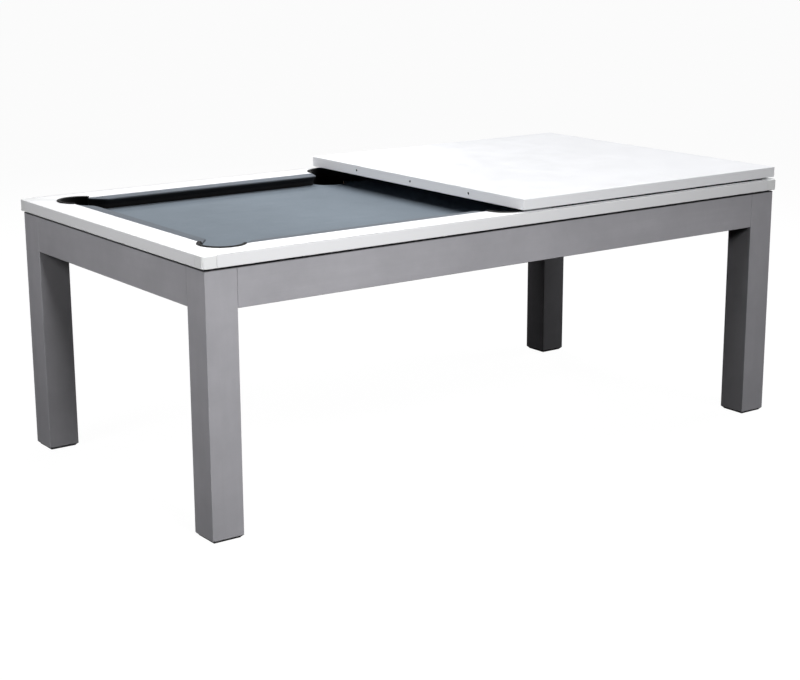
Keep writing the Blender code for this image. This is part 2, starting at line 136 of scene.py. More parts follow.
# Where the cloths fold and are pinned, and where the cups' ribs fade out
LEAST_DROP = 0.02
MOUTH_INSET = 0.05
PIN_DEPTH = 0.002
PIN_HEIGHT = 0.0015
SIMULATION_FRAMES = 20
CUP_RIM = 0.0012
RIB_START = 0.6
RIB_FOOT_FADE = 0.006
RIB_HEAD_GAP = 0.008
RIB_HEAD_FADE = 0.004
WHITE = (1.0, 1.0, 1.0, 1.0)


def settings():
    """Return the sizes and colours that the panel shows."""
    return bpy.context.scene.pool_table


# Places on the table


def side_place(side):
    """Return the map from (along, in, height) on a side of the table to (x, y, z)."""
    sign_x, sign_y = SIDES[side]
    if sign_y:
        return lambda along, inwards, z: np.stack(
            np.broadcast_arrays(along, sign_y * (HALF_WIDTH - inwards), z), axis=-1
        )
    return lambda along, inwards, z: np.stack(
        np.broadcast_arrays(sign_x * (HALF_LENGTH - inwards), along, z), axis=-1
    )


def corner_place(corner):
    """Return the map from (in from the end, in from the side, height) to (x, y, z)."""
    sign_x, sign_y = CORNERS[corner]
    return lambda u, v, z: np.stack(
        np.broadcast_arrays(sign_x * (HALF_LENGTH - u), sign_y * (HALF_WIDTH - v), z), axis=-1
    )


# Surfaces


def arc(centre, radius, start, end, step=FINE_ARC):
    """Return points on an arc: centre + radius * (cos, sin) of evenly spaced angles."""
    count = max(3, math.ceil(abs(end - start) / step) + 1)
    angle = np.linspace(start, end, count)
    return np.stack([centre[0] + radius * np.cos(angle), centre[1] + radius * np.sin(angle)], axis=1)


def rounded(corners, radii, steps=6, closed=True):
    """Return a line through corners, each one replaced by an arc that touches both its sides.

    An arc of radius r starts r / tan(half the corner's angle) before the corner. Its centre is
    r / sin(half the angle) away, along the line that halves the corner.
    """
    corners = np.asarray(corners, float)
    lines = []
    for number, (corner, radius) in enumerate(zip(corners, radii)):
        if radius == 0.0 or (not closed and number in (0, len(corners) - 1)):
            lines.append(corner[None])
            continue
        before = corners[number - 1] - corner
        after = corners[(number + 1) % len(corners)] - corner
        before /= np.linalg.norm(before)
        after /= np.linalg.norm(after)
        half = math.acos(np.clip(before @ after, -1.0, 1.0)) / 2
        middle = before + after
        centre = corner + middle / np.linalg.norm(middle) * radius / math.sin(half)
        first = corner + before * radius / math.tan(half) - centre
        last = corner + after * radius / math.tan(half) - centre
        turn = math.pi - 2 * half
        share = np.linspace(0.0, 1.0, steps)[:, None]
        swept = np.sin((1 - share) * turn) * first + np.sin(share * turn) * last
        lines.append(centre + swept / math.sin(turn))
    return np.concatenate(lines)


def supported(outline, softness=None, reach=SUPPORT):
    """Add a point just inside both ends of each long side, so that smooth shading stays flat there.

    The softness of a side goes to each of its parts.
    """
    following = np.roll(outline, -1, axis=0)
    run = following - outline
    length = np.linalg.norm(run, axis=1, keepdims=True)
    step = run / np.maximum(length, 1e-9) * reach
    long = length[:, 0] > 6 * reach
    rows = np.stack([outline, outline + step, following - step], axis=1)
    keep = np.stack([np.ones(len(outline), bool), long, long], axis=1)
    if softness is None:
        return rows[keep]
    return rows[keep], np.repeat(softness, 3).reshape(-1, 3)[keep]


def anticlockwise(outline, softness):
    """Return an outline, and the softness of the side after each point, with its inside on the left."""
    x, y = outline.T
    area = (x * np.roll(y, -1) - np.roll(x, -1) * y).sum()
    if area > 0:
        return outline, softness
    return outline[::-1], np.roll(softness[::-1], -1)


def mitres(outline, softness=None):
    """Return the outward step at each point that moves the side before and after it by their softness.

    With n1, n2 the normals of both sides, w1, w2 their softness and c = n1 . n2, the step is
    ((w1 - w2 c) n1 + (w2 - w1 c) n2) / (1 - c^2), or the mean normal where the line runs on.
    """
    if softness is None:
        softness = np.ones(len(outline))
    side = np.roll(outline, -1, axis=0) - outline
    side /= np.linalg.norm(side, axis=1, keepdims=True)
    after = np.stack([side[:, 1], -side[:, 0]], axis=1)
    before = np.roll(after, 1, axis=0)
    weight_after = softness[:, None]
    weight_before = np.roll(weight_after, 1, axis=0)
    cosine = (before * after).sum(axis=1, keepdims=True)
    straight = (before + after) / 2 * (weight_before + weight_after) / 2
    spread = np.maximum(1 - cosine**2, 1e-6)
    turned = (weight_before - weight_after * cosine) * before
    turned += (weight_after - weight_before * cosine) * after
    return np.where(cosine > STRAIGHT_COSINE, straight, turned / spread)


def grid_faces(rows, columns, ring=False):
    """Return four point numbers for each face of a grid, and the row and column at its corners.

    In a ring the last column of faces joins the last column of points to the first.
    """
    count = columns if ring else columns - 1
    row, column = np.meshgrid(np.arange(rows - 1), np.arange(count), indexing="ij")
    corner_rows = np.stack([row, row, row + 1, row + 1], axis=-1).reshape(-1, 4)
    corner_columns = np.stack([column, column + 1, column + 1, column], axis=-1).reshape(-1, 4)
    faces = corner_rows * columns + corner_columns % columns
    return faces, corner_rows, corner_columns


def path_length(points, ring=False):
    """Return the distance run along a line at each of its points, and at its start again on a ring."""
    if ring:
        points = np.concatenate([points, points[:1]])
    steps = np.linalg.norm(np.diff(points, axis=0), axis=1)
    return np.concatenate([[0.0], np.cumsum(steps)])


class Surface:
    """Collects the points, faces and cloth coordinates of one piece."""

    def __init__(self):
        self.points = []
        self.faces = []
        self.uvs = []
        self.count = 0

    def add(self, points, faces, uvs=None):
        """Add points with the faces between them, and optionally a (u, v) for each face corner."""
        points = np.asarray(points, float).reshape(-1, 3)
        for face in faces:
            self.faces.append([int(number) + self.count for number in face])
        corners = sum(len(face) for face in faces)
        if uvs is None:
            numbers = np.concatenate([np.asarray(face, int) for face in faces])
            uvs = points[numbers][:, [0, 1]]
        self.uvs.append(np.asarray(uvs, float).reshape(corners, 2))
        self.points.append(points)
        self.count += len(points)

    def add_grid(self, points, ring=False):
        """Add a rows x columns grid of points. Its cloth coordinates are lengths along it, in metres."""
        rows, columns = points.shape[:2]
        faces, corner_rows, corner_columns = grid_faces(rows, columns, ring)
        along = path_length(points[:, columns // 2])
        across = path_length(points[rows // 2], ring)
        uvs = np.stack([along[corner_rows], across[corner_columns]], axis=-1)
        self.add(points, faces, uvs)

    def make(self, name, material, sharp=math.radians(35.0), closed=True):
        """Put the surface into a mesh object at the origin, with its doubles merged."""
        mesh = bpy.data.meshes.new(name)
        mesh.from_pydata(np.concatenate(self.points).tolist(), [], self.faces)
        layer = mesh.uv_layers.new(name="cloth")
        layer.data.foreach_set("uv", np.concatenate(self.uvs).astype(np.float32).ravel())
        shell = bmesh.new()
        shell.from_mesh(mesh)
        bmesh.ops.remove_doubles(shell, verts=shell.verts, dist=1e-6)
        if closed:
            bmesh.ops.recalc_face_normals(shell, faces=shell.faces)
        shell.to_mesh(mesh)
        shell.free()
        mesh.shade_smooth()
        mesh.set_sharp_from_angle(angle=sharp)
        mesh.materials.append(material)
        piece = bpy.data.objects.new(name, mesh)
        bpy.context.scene.collection.objects.link(piece)
        return piece


def edge_profile(bottom, top, edge, steps=4):
    """Return (inset, height) rows of a wall whose lower and upper edges are quarter rounds."""
    turn = np.linspace(0.0, math.pi / 2, steps + 1)
    lower = np.stack([edge * (1 - np.sin(turn)), bottom + edge * (1 - np.cos(turn))], axis=1)
    upper = np.stack([lower[::-1, 0], bottom + top - lower[::-1, 1]], axis=1)
    flat_low = [[edge + SUPPORT, bottom]]
    wall = [[0.0, bottom + edge + SUPPORT], [0.0, top - edge - SUPPORT]]
    flat_high = [[edge + SUPPORT, top]]
    return np.concatenate([flat_low, lower, wall, upper, flat_high])


def add_rounded_board(surface, outline, bottom, top, edge, softness=None):
    """Add a board: its outline carried up an edge profile, each ring moved in along its mitres.

    The point at outline place s and profile place t is outline(s) - mitre(s) * inset(t), at
    height(t). The first and the last ring are filled. A side's softness, from 0 to 1, says how
    much of the edge's roundness it has.
    """
    if softness is None:
        softness = np.ones(len(outline))
    outline, softness = supported(*anticlockwise(outline, softness))
    profile = edge_profile(bottom, top, edge)
    plan = outline[None] - mitres(outline, softness)[None] * profile[:, 0, None, None]
    height = np.broadcast_to(profile[:, 1, None, None], (*plan.shape[:2], 1))
    points = np.concatenate([plan, height], axis=2)
    rows, columns = points.shape[:2]
    surface.add_grid(points, ring=True)
    first = np.arange(columns)
    surface.add(points[0], [first[::-1]])
    surface.add(points[-1], [first])


def fill_ring(surface, ring, uvs=None):
    """Close a ring of points with one face."""
    surface.add(ring, [np.arange(len(ring))], uvs)


# Node trees


class Nodes:
    """Adds nodes to one node tree and links what feeds each of them."""

    def __init__(self, tree):
        self.tree = tree

    def add(self, kind, inputs=None, **values):
        """Add a node. An input is a value, or a socket that is linked to it."""
        node = self.tree.nodes.new(kind)
        for name, value in values.items():
            setattr(node, name, value)
        for name, value in (inputs or {}).items():
            if isinstance(value, bpy.types.NodeSocket):
                self.tree.links.new(value, node.inputs[name])
            else:
                node.inputs[name].default_value = value
        return node

    def math(self, operation, first, second=0.0, third=0.0):
        """Return the result of one operation on numbers."""
        node = self.add("ShaderNodeMath", {0: first, 1: second, 2: third}, operation=operation)
        return node.outputs[0]

    def vector_math(self, operation, first, second):
        """Return the result of one operation on vectors."""
        node = self.add("ShaderNodeVectorMath", {0: first, 1: second}, operation=operation)
        return node.outputs[0]

    def remap(self, value, low, high, new_low, new_high):
        """Return a value carried from one range to another, kept inside it."""
        limits = {"From Min": low, "From Max": high, "To Min": new_low, "To Max": new_high}
        return self.add("ShaderNodeMapRange", {"Value": value, **limits}).outputs["Result"]

    def mix(self, factor, first, second, blend="MIX"):
        """Return two colours mixed."""
        inputs = {0: factor, 6: first, 7: second}
        node = self.add("ShaderNodeMix", inputs, data_type="RGBA", blend_type=blend)
        return node.outputs[2]

    def noise(self, vector, scale, detail=3.0, roughness=0.55, distortion=0.0):
        """Return a noise value about one half."""
        inputs = {"Vector": vector, "Scale": scale, "Detail": detail}
        inputs.update({"Roughness": roughness, "Distortion": distortion})
        return self.add("ShaderNodeTexNoise", inputs).outputs["Fac"]


def shader_group(name, inputs, outputs):
    """Make a node group. Return its nodes, what it is given, and its output node."""
    tree = bpy.data.node_groups.new(name, "ShaderNodeTree")
    for socket_name, kind, default in inputs:
        socket = tree.interface.new_socket(name=socket_name, in_out="INPUT", socket_type=kind)
        if default is not None:
            socket.default_value = default
    for socket_name, kind in outputs:
        tree.interface.new_socket(name=socket_name, in_out="OUTPUT", socket_type=kind)
    nodes = Nodes(tree)
    return nodes, nodes.add("NodeGroupInput").outputs, nodes.add("NodeGroupOutput")


FLOAT = "NodeSocketFloat"
VECTOR = "NodeSocketVector"
COLOUR = "NodeSocketColor"


def build_mottle():
    """Cloudy variation: a colour made lighter and darker by broad and by middling noise."""
    nodes, given, out = shader_group(
        "cloudy_tone",
        [
            ("Vector", VECTOR, None),
            ("Color", COLOUR, None),
            ("Scale", FLOAT, 3.0),
            ("Contrast", FLOAT, 0.05),
        ],
        [("Color", COLOUR), ("Value", FLOAT)],
    )
    broad = nodes.noise(given["Vector"], given["Scale"], 2.0)
    finer_scale = nodes.math("MULTIPLY", given["Scale"], 5.3)
    fine = nodes.noise(given["Vector"], finer_scale, 4.0, 0.6)
    both = nodes.math("ADD", nodes.math("MULTIPLY", broad, 0.65), nodes.math("MULTIPLY", fine, 0.35))
    swing = nodes.math("MULTIPLY", nodes.math("SUBTRACT", both, 0.5), 2.0)
    gain = nodes.math("ADD", 1.0, nodes.math("MULTIPLY", swing, given["Contrast"]))
    shade = nodes.add("ShaderNodeCombineColor", {0: gain, 1: gain, 2: gain}).outputs[0]
    tinted = nodes.mix(1.0, given["Color"], shade, "MULTIPLY")
    nodes.tree.links.new(tinted, out.inputs["Color"])
    nodes.tree.links.new(both, out.inputs["Value"])
    return nodes.tree


def build_grain():
    """Board grain seen through a finish: streaks that run along one axis, with pores in them."""
    nodes, given, out = shader_group(
        "board_grain",
        [("Vector", VECTOR, None), ("Stretch", VECTOR, (1.0, 1.0, 1.0)), ("Scale", FLOAT, 60.0)],
        [("Streaks", FLOAT), ("Height", FLOAT)],
    )
    along = nodes.vector_math("MULTIPLY", given["Vector"], given["Stretch"])
    streaks = nodes.noise(along, given["Scale"], 5.0, 0.6, 0.3)
    pore_scale = nodes.math("MULTIPLY", given["Scale"], 6.0)
    pores = nodes.noise(along, pore_scale, 2.0, 0.5)
    pits = nodes.remap(pores, 0.30, 0.42, 0.0, 1.0)
    height = nodes.math("ADD", nodes.math("MULTIPLY", streaks, 0.7), nodes.math("MULTIPLY", pits, 0.3))
    nodes.tree.links.new(streaks, out.inputs["Streaks"])
    nodes.tree.links.new(height, out.inputs["Height"])
    return nodes.tree


def build_peel():
    """The skin of a sprayed finish: soft waves a few millimetres wide with fine dust under them."""
    nodes, given, out = shader_group(
        "sprayed_skin",
        [("Vector", VECTOR, None), ("Scale", FLOAT, 260.0)],
        [("Height", FLOAT), ("Value", FLOAT)],
    )
    waves = nodes.noise(given["Vector"], given["Scale"], 1.5, 0.4)
    speck_scale = nodes.math("MULTIPLY", given["Scale"], 7.0)
    specks = nodes.remap(nodes.noise(given["Vector"], speck_scale, 1.0), 0.66, 0.80, 0.0, 1.0)
    height = nodes.math("ADD", waves, nodes.math("MULTIPLY", specks, 0.25))
    broad_scale = nodes.math("MULTIPLY", given["Scale"], 0.06)
    broad = nodes.noise(given["Vector"], broad_scale, 3.0)
    nodes.tree.links.new(height, out.inputs["Height"])
    nodes.tree.links.new(broad, out.inputs["Value"])
    return nodes.tree


def build_scuffs():
    """Light scuffs of use: thin crossing scratches that gather where a broad noise is high."""
    nodes, given, out = shader_group(
        "light_scuffs",
        [
            ("Vector", VECTOR, None),
            ("Amount", FLOAT, 0.5),
            ("Top", FLOAT, 10.0),
            ("Bottom", FLOAT, -10.0),
        ],
        [("Mask", FLOAT)],
    )
    masks = []
    for stretch in ((2.0, 40.0, 9.0), (38.0, 3.0, 16.0)):
        scratched = nodes.vector_math("MULTIPLY", given["Vector"], stretch)
        masks.append(nodes.remap(nodes.noise(scratched, 6.0, 6.0, 0.65, 0.8), 0.66, 0.74, 0.0, 1.0))
    crossed = nodes.math("MAXIMUM", masks[0], masks[1])
    patches = nodes.remap(nodes.noise(given["Vector"], 5.0, 2.0), 0.48, 0.70, 0.0, 1.0)
    place = nodes.add("ShaderNodeSeparateXYZ", {0: given["Vector"]}).outputs["Z"]
    low = nodes.remap(place, given["Bottom"], given["Top"], 1.0, 0.0)
    gathered = nodes.math("MULTIPLY", crossed, nodes.math("MULTIPLY", patches, low))
    nodes.tree.links.new(nodes.math("MULTIPLY", gathered, given["Amount"]), out.inputs["Mask"])
    return nodes.tree


def build_weave():
    """Plain weave: the larger of two sets of round threads that cross, with fuzz over them."""
    nodes, given, out = shader_group(
        "plain_weave",
        [("Vector", VECTOR, None), ("Threads", FLOAT, 900.0), ("Fuzz", FLOAT, 0.5)],
        [("Height", FLOAT), ("Shade", FLOAT)],
    )
    place = nodes.add("ShaderNodeSeparateXYZ", {0: given["Vector"]}).outputs
    turn = nodes.math("MULTIPLY", given["Threads"], 2 * math.pi)
    waves = [nodes.math("SINE", nodes.math("MULTIPLY", place[axis], turn)) for axis in ("X", "Y")]
    over = nodes.math("MULTIPLY", waves[0], waves[1])
    threads = nodes.math("ADD", 0.5, nodes.math("MULTIPLY", over, 0.5))
    fuzz_scale = nodes.math("MULTIPLY", given["Threads"], 1.7)
    fuzz = nodes.noise(given["Vector"], fuzz_scale, 3.0, 0.7)
    height = nodes.add("ShaderNodeMix", {0: given["Fuzz"], 2: threads, 3: fuzz}).outputs[0]
    nap_scale = nodes.math("MULTIPLY", given["Threads"], 0.035)
    brushed = nodes.vector_math("MULTIPLY", given["Vector"], (0.3, 1.0, 1.0))
    nap = nodes.noise(brushed, nap_scale, 5.0, 0.65)
    # The shade is partly painted shade where the threads lie low, and partly the nap's random tone.
    shade = nodes.math("ADD", nodes.math("MULTIPLY", height, 0.35), nodes.math("MULTIPLY", nap, 0.65))
    nodes.tree.links.new(height, out.inputs["Height"])
    nodes.tree.links.new(shade, out.inputs["Shade"])
    return nodes.tree


GROUP_BUILDERS = {
    "cloudy_tone": build_mottle,
    "board_grain": build_grain,
    "sprayed_skin": build_peel,
    "light_scuffs": build_scuffs,
    "plain_weave": build_weave,
}


def use_group(nodes, name, inputs):
    """Place a shared effect in a material, and build it first if this is its first use."""
    if name not in bpy.data.node_groups:
        GROUP_BUILDERS[name]()
    node = nodes.add("ShaderNodeGroup", node_tree=bpy.data.node_groups[name])
    for socket_name, value in inputs.items():
        if isinstance(value, bpy.types.NodeSocket):
            nodes.tree.links.new(value, node.inputs[socket_name])
        else:
            node.inputs[socket_name].default_value = value
    return node.outputs


def start_material(name):
    """Return a new material's nodes, its Principled BSDF's inputs and its Object coordinates."""
    material = bpy.data.materials.new(name)
    material.use_nodes = True
    nodes = Nodes(material.node_tree)
    shader = material.node_tree.nodes["Principled BSDF"]
    place = nodes.add("ShaderNodeTexCoord").outputs["Object"]
    return material, nodes, shader, place


def finish_material(nodes, shader, colour, roughness, heights):
    """Link a colour, a roughness and bumps of (height, distance in metres) to a shader."""
    nodes.tree.links.new(colour, shader.inputs["Base Color"])
    nodes.tree.links.new(roughness, shader.inputs["Roughness"])
    normal = None
    for height, distance in heights:
        inputs = {"Height": height, "Distance": distance, "Strength": 1.0}
        if normal is not None:
            inputs["Normal"] = normal
        normal = nodes.add("ShaderNodeBump", inputs).outputs["Normal"]
    nodes.tree.links.new(normal, shader.inputs["Normal"])


def opaque(colour):
    """Return a colour with full alpha."""
    return (*colour, 1.0)


def scaled(colour, share):
    """Return an opaque colour scaled by a share, kept within what a surface can reflect."""
    return opaque([min(1.0, share * part) for part in colour])


def cloudy(nodes, place, colour, scale, contrast):
    """Place the cloudy tone of a colour, and return its outputs."""
    inputs = {"Vector": place, "Color": opaque(colour), "Scale": scale, "Contrast": contrast}
    return use_group(nodes, "cloudy_tone", inputs)


def paint_material(name, stretch):
    """Satin grey paint over a board with its grain along one axis, and painted shade along its upper
    edge, under the rails.
    """
    material, nodes, shader, place = start_material(name)
    base = settings().paint_colour
    grain = use_group(nodes, "board_grain", {"Vector": place, "Stretch": stretch, "Scale": 45.0})
    skin = use_group(nodes, "sprayed_skin", {"Vector": place, "Scale": 320.0})
    scuffs_and_nose_shade = {"Vector": place, "Amount": 0.8, "Bottom": 0.02, "Top": 0.45}
    scuffs = use_group(nodes, "light_scuffs", scuffs_and_nose_shade)
    tone = cloudy(nodes, place, base, 4.5, 0.26)
    streak = nodes.remap(grain["Streaks"], 0.30, 0.70, 0.0, 1.0)
    darker = scaled(base, 0.90)
    streaked = nodes.mix(nodes.math("MULTIPLY", streak, 0.45), tone["Color"], darker)
    lighter = scaled(base, 1.35)
    colour = nodes.mix(nodes.math("MULTIPLY", scuffs["Mask"], 0.45), streaked, lighter)
    # Painted shade: the top few millimetres of legs and aprons go nearly black, as in the shade of the
    # gap under the rails.
    height = nodes.add("ShaderNodeSeparateXYZ", {0: place}).outputs["Z"]
    painted_gap_shade = nodes.remap(height, APRON_TOP - 0.0035, APRON_TOP - 0.0010, 0.0, 0.9)
    colour = nodes.mix(painted_gap_shade, colour, scaled(base, 0.05))
    rough = nodes.remap(skin["Value"], 0.3, 0.7, 0.38, 0.50)
    rough = nodes.math("ADD", rough, nodes.math("MULTIPLY", scuffs["Mask"], 0.15))
    finish_material(nodes, shader, colour, rough, [(grain["Height"], 0.00025), (skin["Height"], 0.00006)])
    shader.inputs["Specular IOR Level"].default_value = 0.35
    return material


def core_mask(nodes, place, low, high, depth):
    """Return one deeper inside a box than a depth, and zero on its faces."""
    below = nodes.vector_math("SUBTRACT", place, low)
    above = nodes.vector_math("SUBTRACT", high, place)
    nearest = nodes.vector_math("MINIMUM", below, above)
    parts = nodes.add("ShaderNodeSeparateXYZ", {0: nearest}).outputs
    least = nodes.math("MINIMUM", nodes.math("MINIMUM", parts["X"], parts["Y"]), parts["Z"])
    return nodes.remap(least, depth, 2 * depth, 0.0, 1.0)


def lacquer_material(name, colour, roughness, contrast, core=None):
    """White lacquer: a sprayed skin with faint cloudiness and hairline marks.

    Inside holes into the core, a box from its low to its high corner, the colour goes nearly black:
    painted shade in the dowel holes.
    """
    material, nodes, shader, place = start_material(name)
    skin = use_group(nodes, "sprayed_skin", {"Vector": place, "Scale": 240.0})
    scuffs = use_group(nodes, "light_scuffs", {"Vector": place, "Amount": 0.5})
    tone = cloudy(nodes, place, colour, 2.4, contrast)
    marked = scaled(colour, 0.90)
    final = nodes.mix(nodes.math("MULTIPLY", scuffs["Mask"], 0.10), tone["Color"], marked)
    # Painted shade: nearly black inside the dowel holes.
    if core:
        painted_dark = core_mask(nodes, place, *core, 0.0006)
        final = nodes.mix(painted_dark, final, opaque(settings().hole_shade_colour))
    rough = nodes.remap(skin["Value"], 0.3, 0.7, roughness, roughness + 0.07)
    rough = nodes.math("ADD", rough, nodes.math("MULTIPLY", scuffs["Mask"], 0.08))
    finish_material(nodes, shader, final, rough, [(skin["Height"], 0.00008)])
    shader.inputs["Specular IOR Level"].default_value = 0.22
    shader.inputs["Coat Weight"].default_value = 0.03
    shader.inputs["Coat Roughness"].default_value = 0.20
    return material


def cloth_material(name, colour, contrast, wear_and_nose_shade=None):
    """Napped worsted cloth: a fine weave under fuzz, brushed along its length.

    Between the two given distances across the cloth it goes from nearly black to its own colour: painted
    shade along the cushion's nose.
    """
    material, nodes, shader, place = start_material(name)
    along = nodes.add("ShaderNodeUVMap", uv_map="cloth").outputs["UV"]
    weave = use_group(nodes, "plain_weave", {"Vector": along, "Threads": 1100.0, "Fuzz": 0.55})
    tone = cloudy(nodes, place, colour, 2.1, contrast)
    shade = nodes.remap(weave["Shade"], 0.30, 0.70, 0.0, 1.0)
    darker = scaled(colour, 0.80)
    # Painted shade in the weave's hollows, mixed with the nap's own tone.
    hollows = nodes.math("MULTIPLY", nodes.math("SUBTRACT", 1.0, shade), 0.40)
    final = nodes.mix(hollows, tone["Color"], darker)
    # Painted shade: a nearly black band along the nose, fading into the cloth colour.
    if wear_and_nose_shade:
        across = nodes.add("ShaderNodeSeparateXYZ", {0: along}).outputs["Y"]
        scuffs_and_nose_shade = nodes.remap(across, *wear_and_nose_shade, 0.92, 0.0)
        final = nodes.mix(scuffs_and_nose_shade, final, scaled(colour, 0.06))
    rough = nodes.remap(weave["Shade"], 0.3, 0.7, 0.95, 0.82)
    finish_material(nodes, shader, final, rough, [(weave["Height"], 0.00018)])
    shader.inputs["Specular IOR Level"].default_value = 0.20
    shader.inputs["Sheen Weight"].default_value = 0.35
    shader.inputs["Sheen Roughness"].default_value = 0.45
    shader.inputs["Sheen Tint"].default_value = opaque([0.75, 0.82, 0.90])
    return material


def rubber_material(name, colour, roughness):
    """Moulded black rubber: fine pebble grain with dull, rubbed patches."""
    material, nodes, shader, place = start_material(name)
    pebbles = nodes.add("ShaderNodeTexVoronoi", {"Vector": place, "Scale": 900.0}).outputs["Distance"]
    tone = cloudy(nodes, place, colour, 22.0, 0.5)
    scuffs = use_group(nodes, "light_scuffs", {"Vector": place, "Amount": 1.0})
    wear_and_nose_shade = opaque([part + 0.035 for part in colour])
    final = nodes.mix(nodes.math("MULTIPLY", scuffs["Mask"], 0.6), tone["Color"], wear_and_nose_shade)
    rough = nodes.remap(tone["Value"], 0.3, 0.7, roughness, roughness + 0.18)
    finish_material(nodes, shader, final, rough, [(pebbles, 0.00012)])
    shader.inputs["Specular IOR Level"].default_value = 0.30
    return material


def board_material(name, colour):
    """Particle board: pressed chips of mixed tone with a faintly rough cut face."""
    material, nodes, shader, place = start_material(name)
    chips = nodes.add("ShaderNodeTexVoronoi", {"Vector": place, "Scale": 230.0, "Randomness": 1.0})
    tone = cloudy(nodes, place, colour, 9.0, 0.25)
    chip_tone = nodes.add("ShaderNodeSeparateColor", {0: chips.outputs["Color"]}).outputs[0]
    dark = scaled(colour, 0.55)
    light = scaled(colour, 1.30)
    speckled = nodes.mix(nodes.remap(chip_tone, 0.0, 0.35, 0.7, 0.0), tone["Color"], dark)
    final = nodes.mix(nodes.remap(chip_tone, 0.75, 1.0, 0.0, 0.6), speckled, light)
    rough = nodes.remap(chip_tone, 0.0, 1.0, 0.70, 0.88)
    finish_material(nodes, shader, final, rough, [(chips.outputs["Distance"], 0.0004)])
    return material


def timber_material(name, colour, stretch, bands):
    """Sawn softwood: wide year bands along one axis, with fine fibres and a rough face."""
    material, nodes, shader, place = start_material(name)
    grain = use_group(nodes, "board_grain", {"Vector": place, "Stretch": stretch, "Scale": 70.0})
    along = nodes.vector_math("MULTIPLY", place, stretch)
    inputs = {"Vector": along, "Scale": bands, "Distortion": 5.0, "Detail": 3.0, "Detail Scale": 1.2}
    rings = nodes.add("ShaderNodeTexWave", inputs, wave_type="BANDS", bands_direction="X").outputs["Fac"]
    late = scaled(colour, 0.62)
    tone = cloudy(nodes, place, colour, 6.0, 0.15)
    ringed = nodes.mix(nodes.remap(rings, 0.55, 1.0, 0.0, 0.75), tone["Color"], late)
    final = nodes.mix(nodes.remap(grain["Streaks"], 0.4, 0.8, 0.0, 0.35), ringed, late)
    rough = nodes.remap(grain["Streaks"], 0.2, 0.8, 0.62, 0.82)
    finish_material(nodes, shader, final, rough, [(grain["Height"], 0.0006), (rings, 0.0002)])
    return material


def steel_material(name, colour):
    """Zinc-plated steel: a spangle of facets that differ in tone and gloss, with fine scratches."""
    material, nodes, shader, place = start_material(name)
    spangle = nodes.add("ShaderNodeTexVoronoi", {"Vector": place, "Scale": 160.0})
    facet = nodes.add("ShaderNodeSeparateColor", {0: spangle.outputs["Color"]}).outputs[0]
    scuffs = use_group(nodes, "light_scuffs", {"Vector": place, "Amount": 1.0})
    dull = scaled(colour, 0.72)
    toned = nodes.mix(nodes.remap(facet, 0.0, 1.0, 0.0, 0.8), opaque(colour), dull)
    final = nodes.mix(scuffs["Mask"], toned, opaque([0.35, 0.34, 0.33]))
    rough = nodes.remap(facet, 0.0, 1.0, 0.24, 0.44)
    scratched = nodes.vector_math("MULTIPLY", place, (30.0, 30.0, 400.0))
    finish_material(nodes, shader, final, rough, [(nodes.noise(scratched, 4.0, 4.0), 0.00008)])
    shader.inputs["Metallic"].default_value = 1.0
    return material


def felt_material(name, colour):
    """Pressed felt: tangled fibres that show as a mottled, fuzzy surface."""
    material, nodes, shader, place = start_material(name)
    fibres = nodes.noise(place, 900.0, 6.0, 0.75, 1.5)
    tone = cloudy(nodes, place, colour, 60.0, 0.5)
    light = opaque([part + 0.03 for part in colour])
    final = nodes.mix(nodes.remap(fibres, 0.5, 0.75, 0.0, 0.8), tone["Color"], light)
    rough = nodes.remap(fibres, 0.3, 0.7, 0.88, 0.99)
    finish_material(nodes, shader, final, rough, [(fibres, 0.0005)])
    shader.inputs["Sheen Weight"].default_value = 0.3
    return material


ALONG_X = (0.06, 1.0, 1.0)
ALONG_Y = (1.0, 0.06, 1.0)
ALONG_Z = (1.0, 1.0, 0.06)


def finish(name):
    """Return one of the table's finishes, made at its first use."""
    if name in bpy.data.materials:
        return bpy.data.materials[name]
    look = settings()
    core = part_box("dining_top_right")
    makers = {
        "grey_paint_upright": lambda: paint_material(name, ALONG_Z),
        "grey_paint_long": lambda: paint_material(name, ALONG_X),
        "grey_paint_cross": lambda: paint_material(name, ALONG_Y),
        "white_lacquer": lambda: lacquer_material(name, look.lacquer_colour, 0.34, 0.012),
        "corner_lacquer": lambda: lacquer_material(name, look.corner_colour, 0.38, 0.03),
        "top_lacquer": lambda: lacquer_material(name, look.top_colour, 0.30, 0.006, core),
        "bed_cloth": lambda: cloth_material(name, look.cloth_colour, 0.34),
        "cushion_cloth": lambda: cloth_material(name, look.cushion_colour, 0.10, nose_shade_band()),
        "pocket_rubber": lambda: rubber_material(name, look.rubber_colour, 0.34),
        # Near-black painted shade under the cushions' noses and at their ends.
        "cushion_rubber": lambda: rubber_material(name, look.under_nose_shade_colour, 0.80),
        "cup_plastic": lambda: rubber_material(name, look.rubber_colour, 0.48),
        "bed_board": lambda: board_material(name, look.board_colour),
        "beam_wood": lambda: timber_material(name, look.timber_colour, ALONG_Y, 14.0),
        # The strips under the rails are near-black: painted shade in the gap between rails and aprons.
        "black_strip_long": lambda: timber_material(name, look.gap_shade_strip_colour, ALONG_X, 20.0),
        "black_strip_cross": lambda: timber_material(name, look.gap_shade_strip_colour, ALONG_Y, 20.0),
        "zinc_steel": lambda: steel_material(name, look.steel_colour),
        "black_felt": lambda: felt_material(name, look.felt_colour),
    }
    return makers[name]()


def dress_node(node_name, finish_name):
    """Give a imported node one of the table's finishes."""
    mesh = frame["nodes"][node_name].data
    mesh.materials.clear()
    mesh.materials.append(finish(finish_name))


def settle(piece, body=TABLE_BODY, replaced=()):
    """Tie a finished piece to its body, and hide the nodes that it stands for."""
    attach(piece, body)
    if replaced:
        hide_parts(*replaced)
    return piece


# Rails and corner blocks


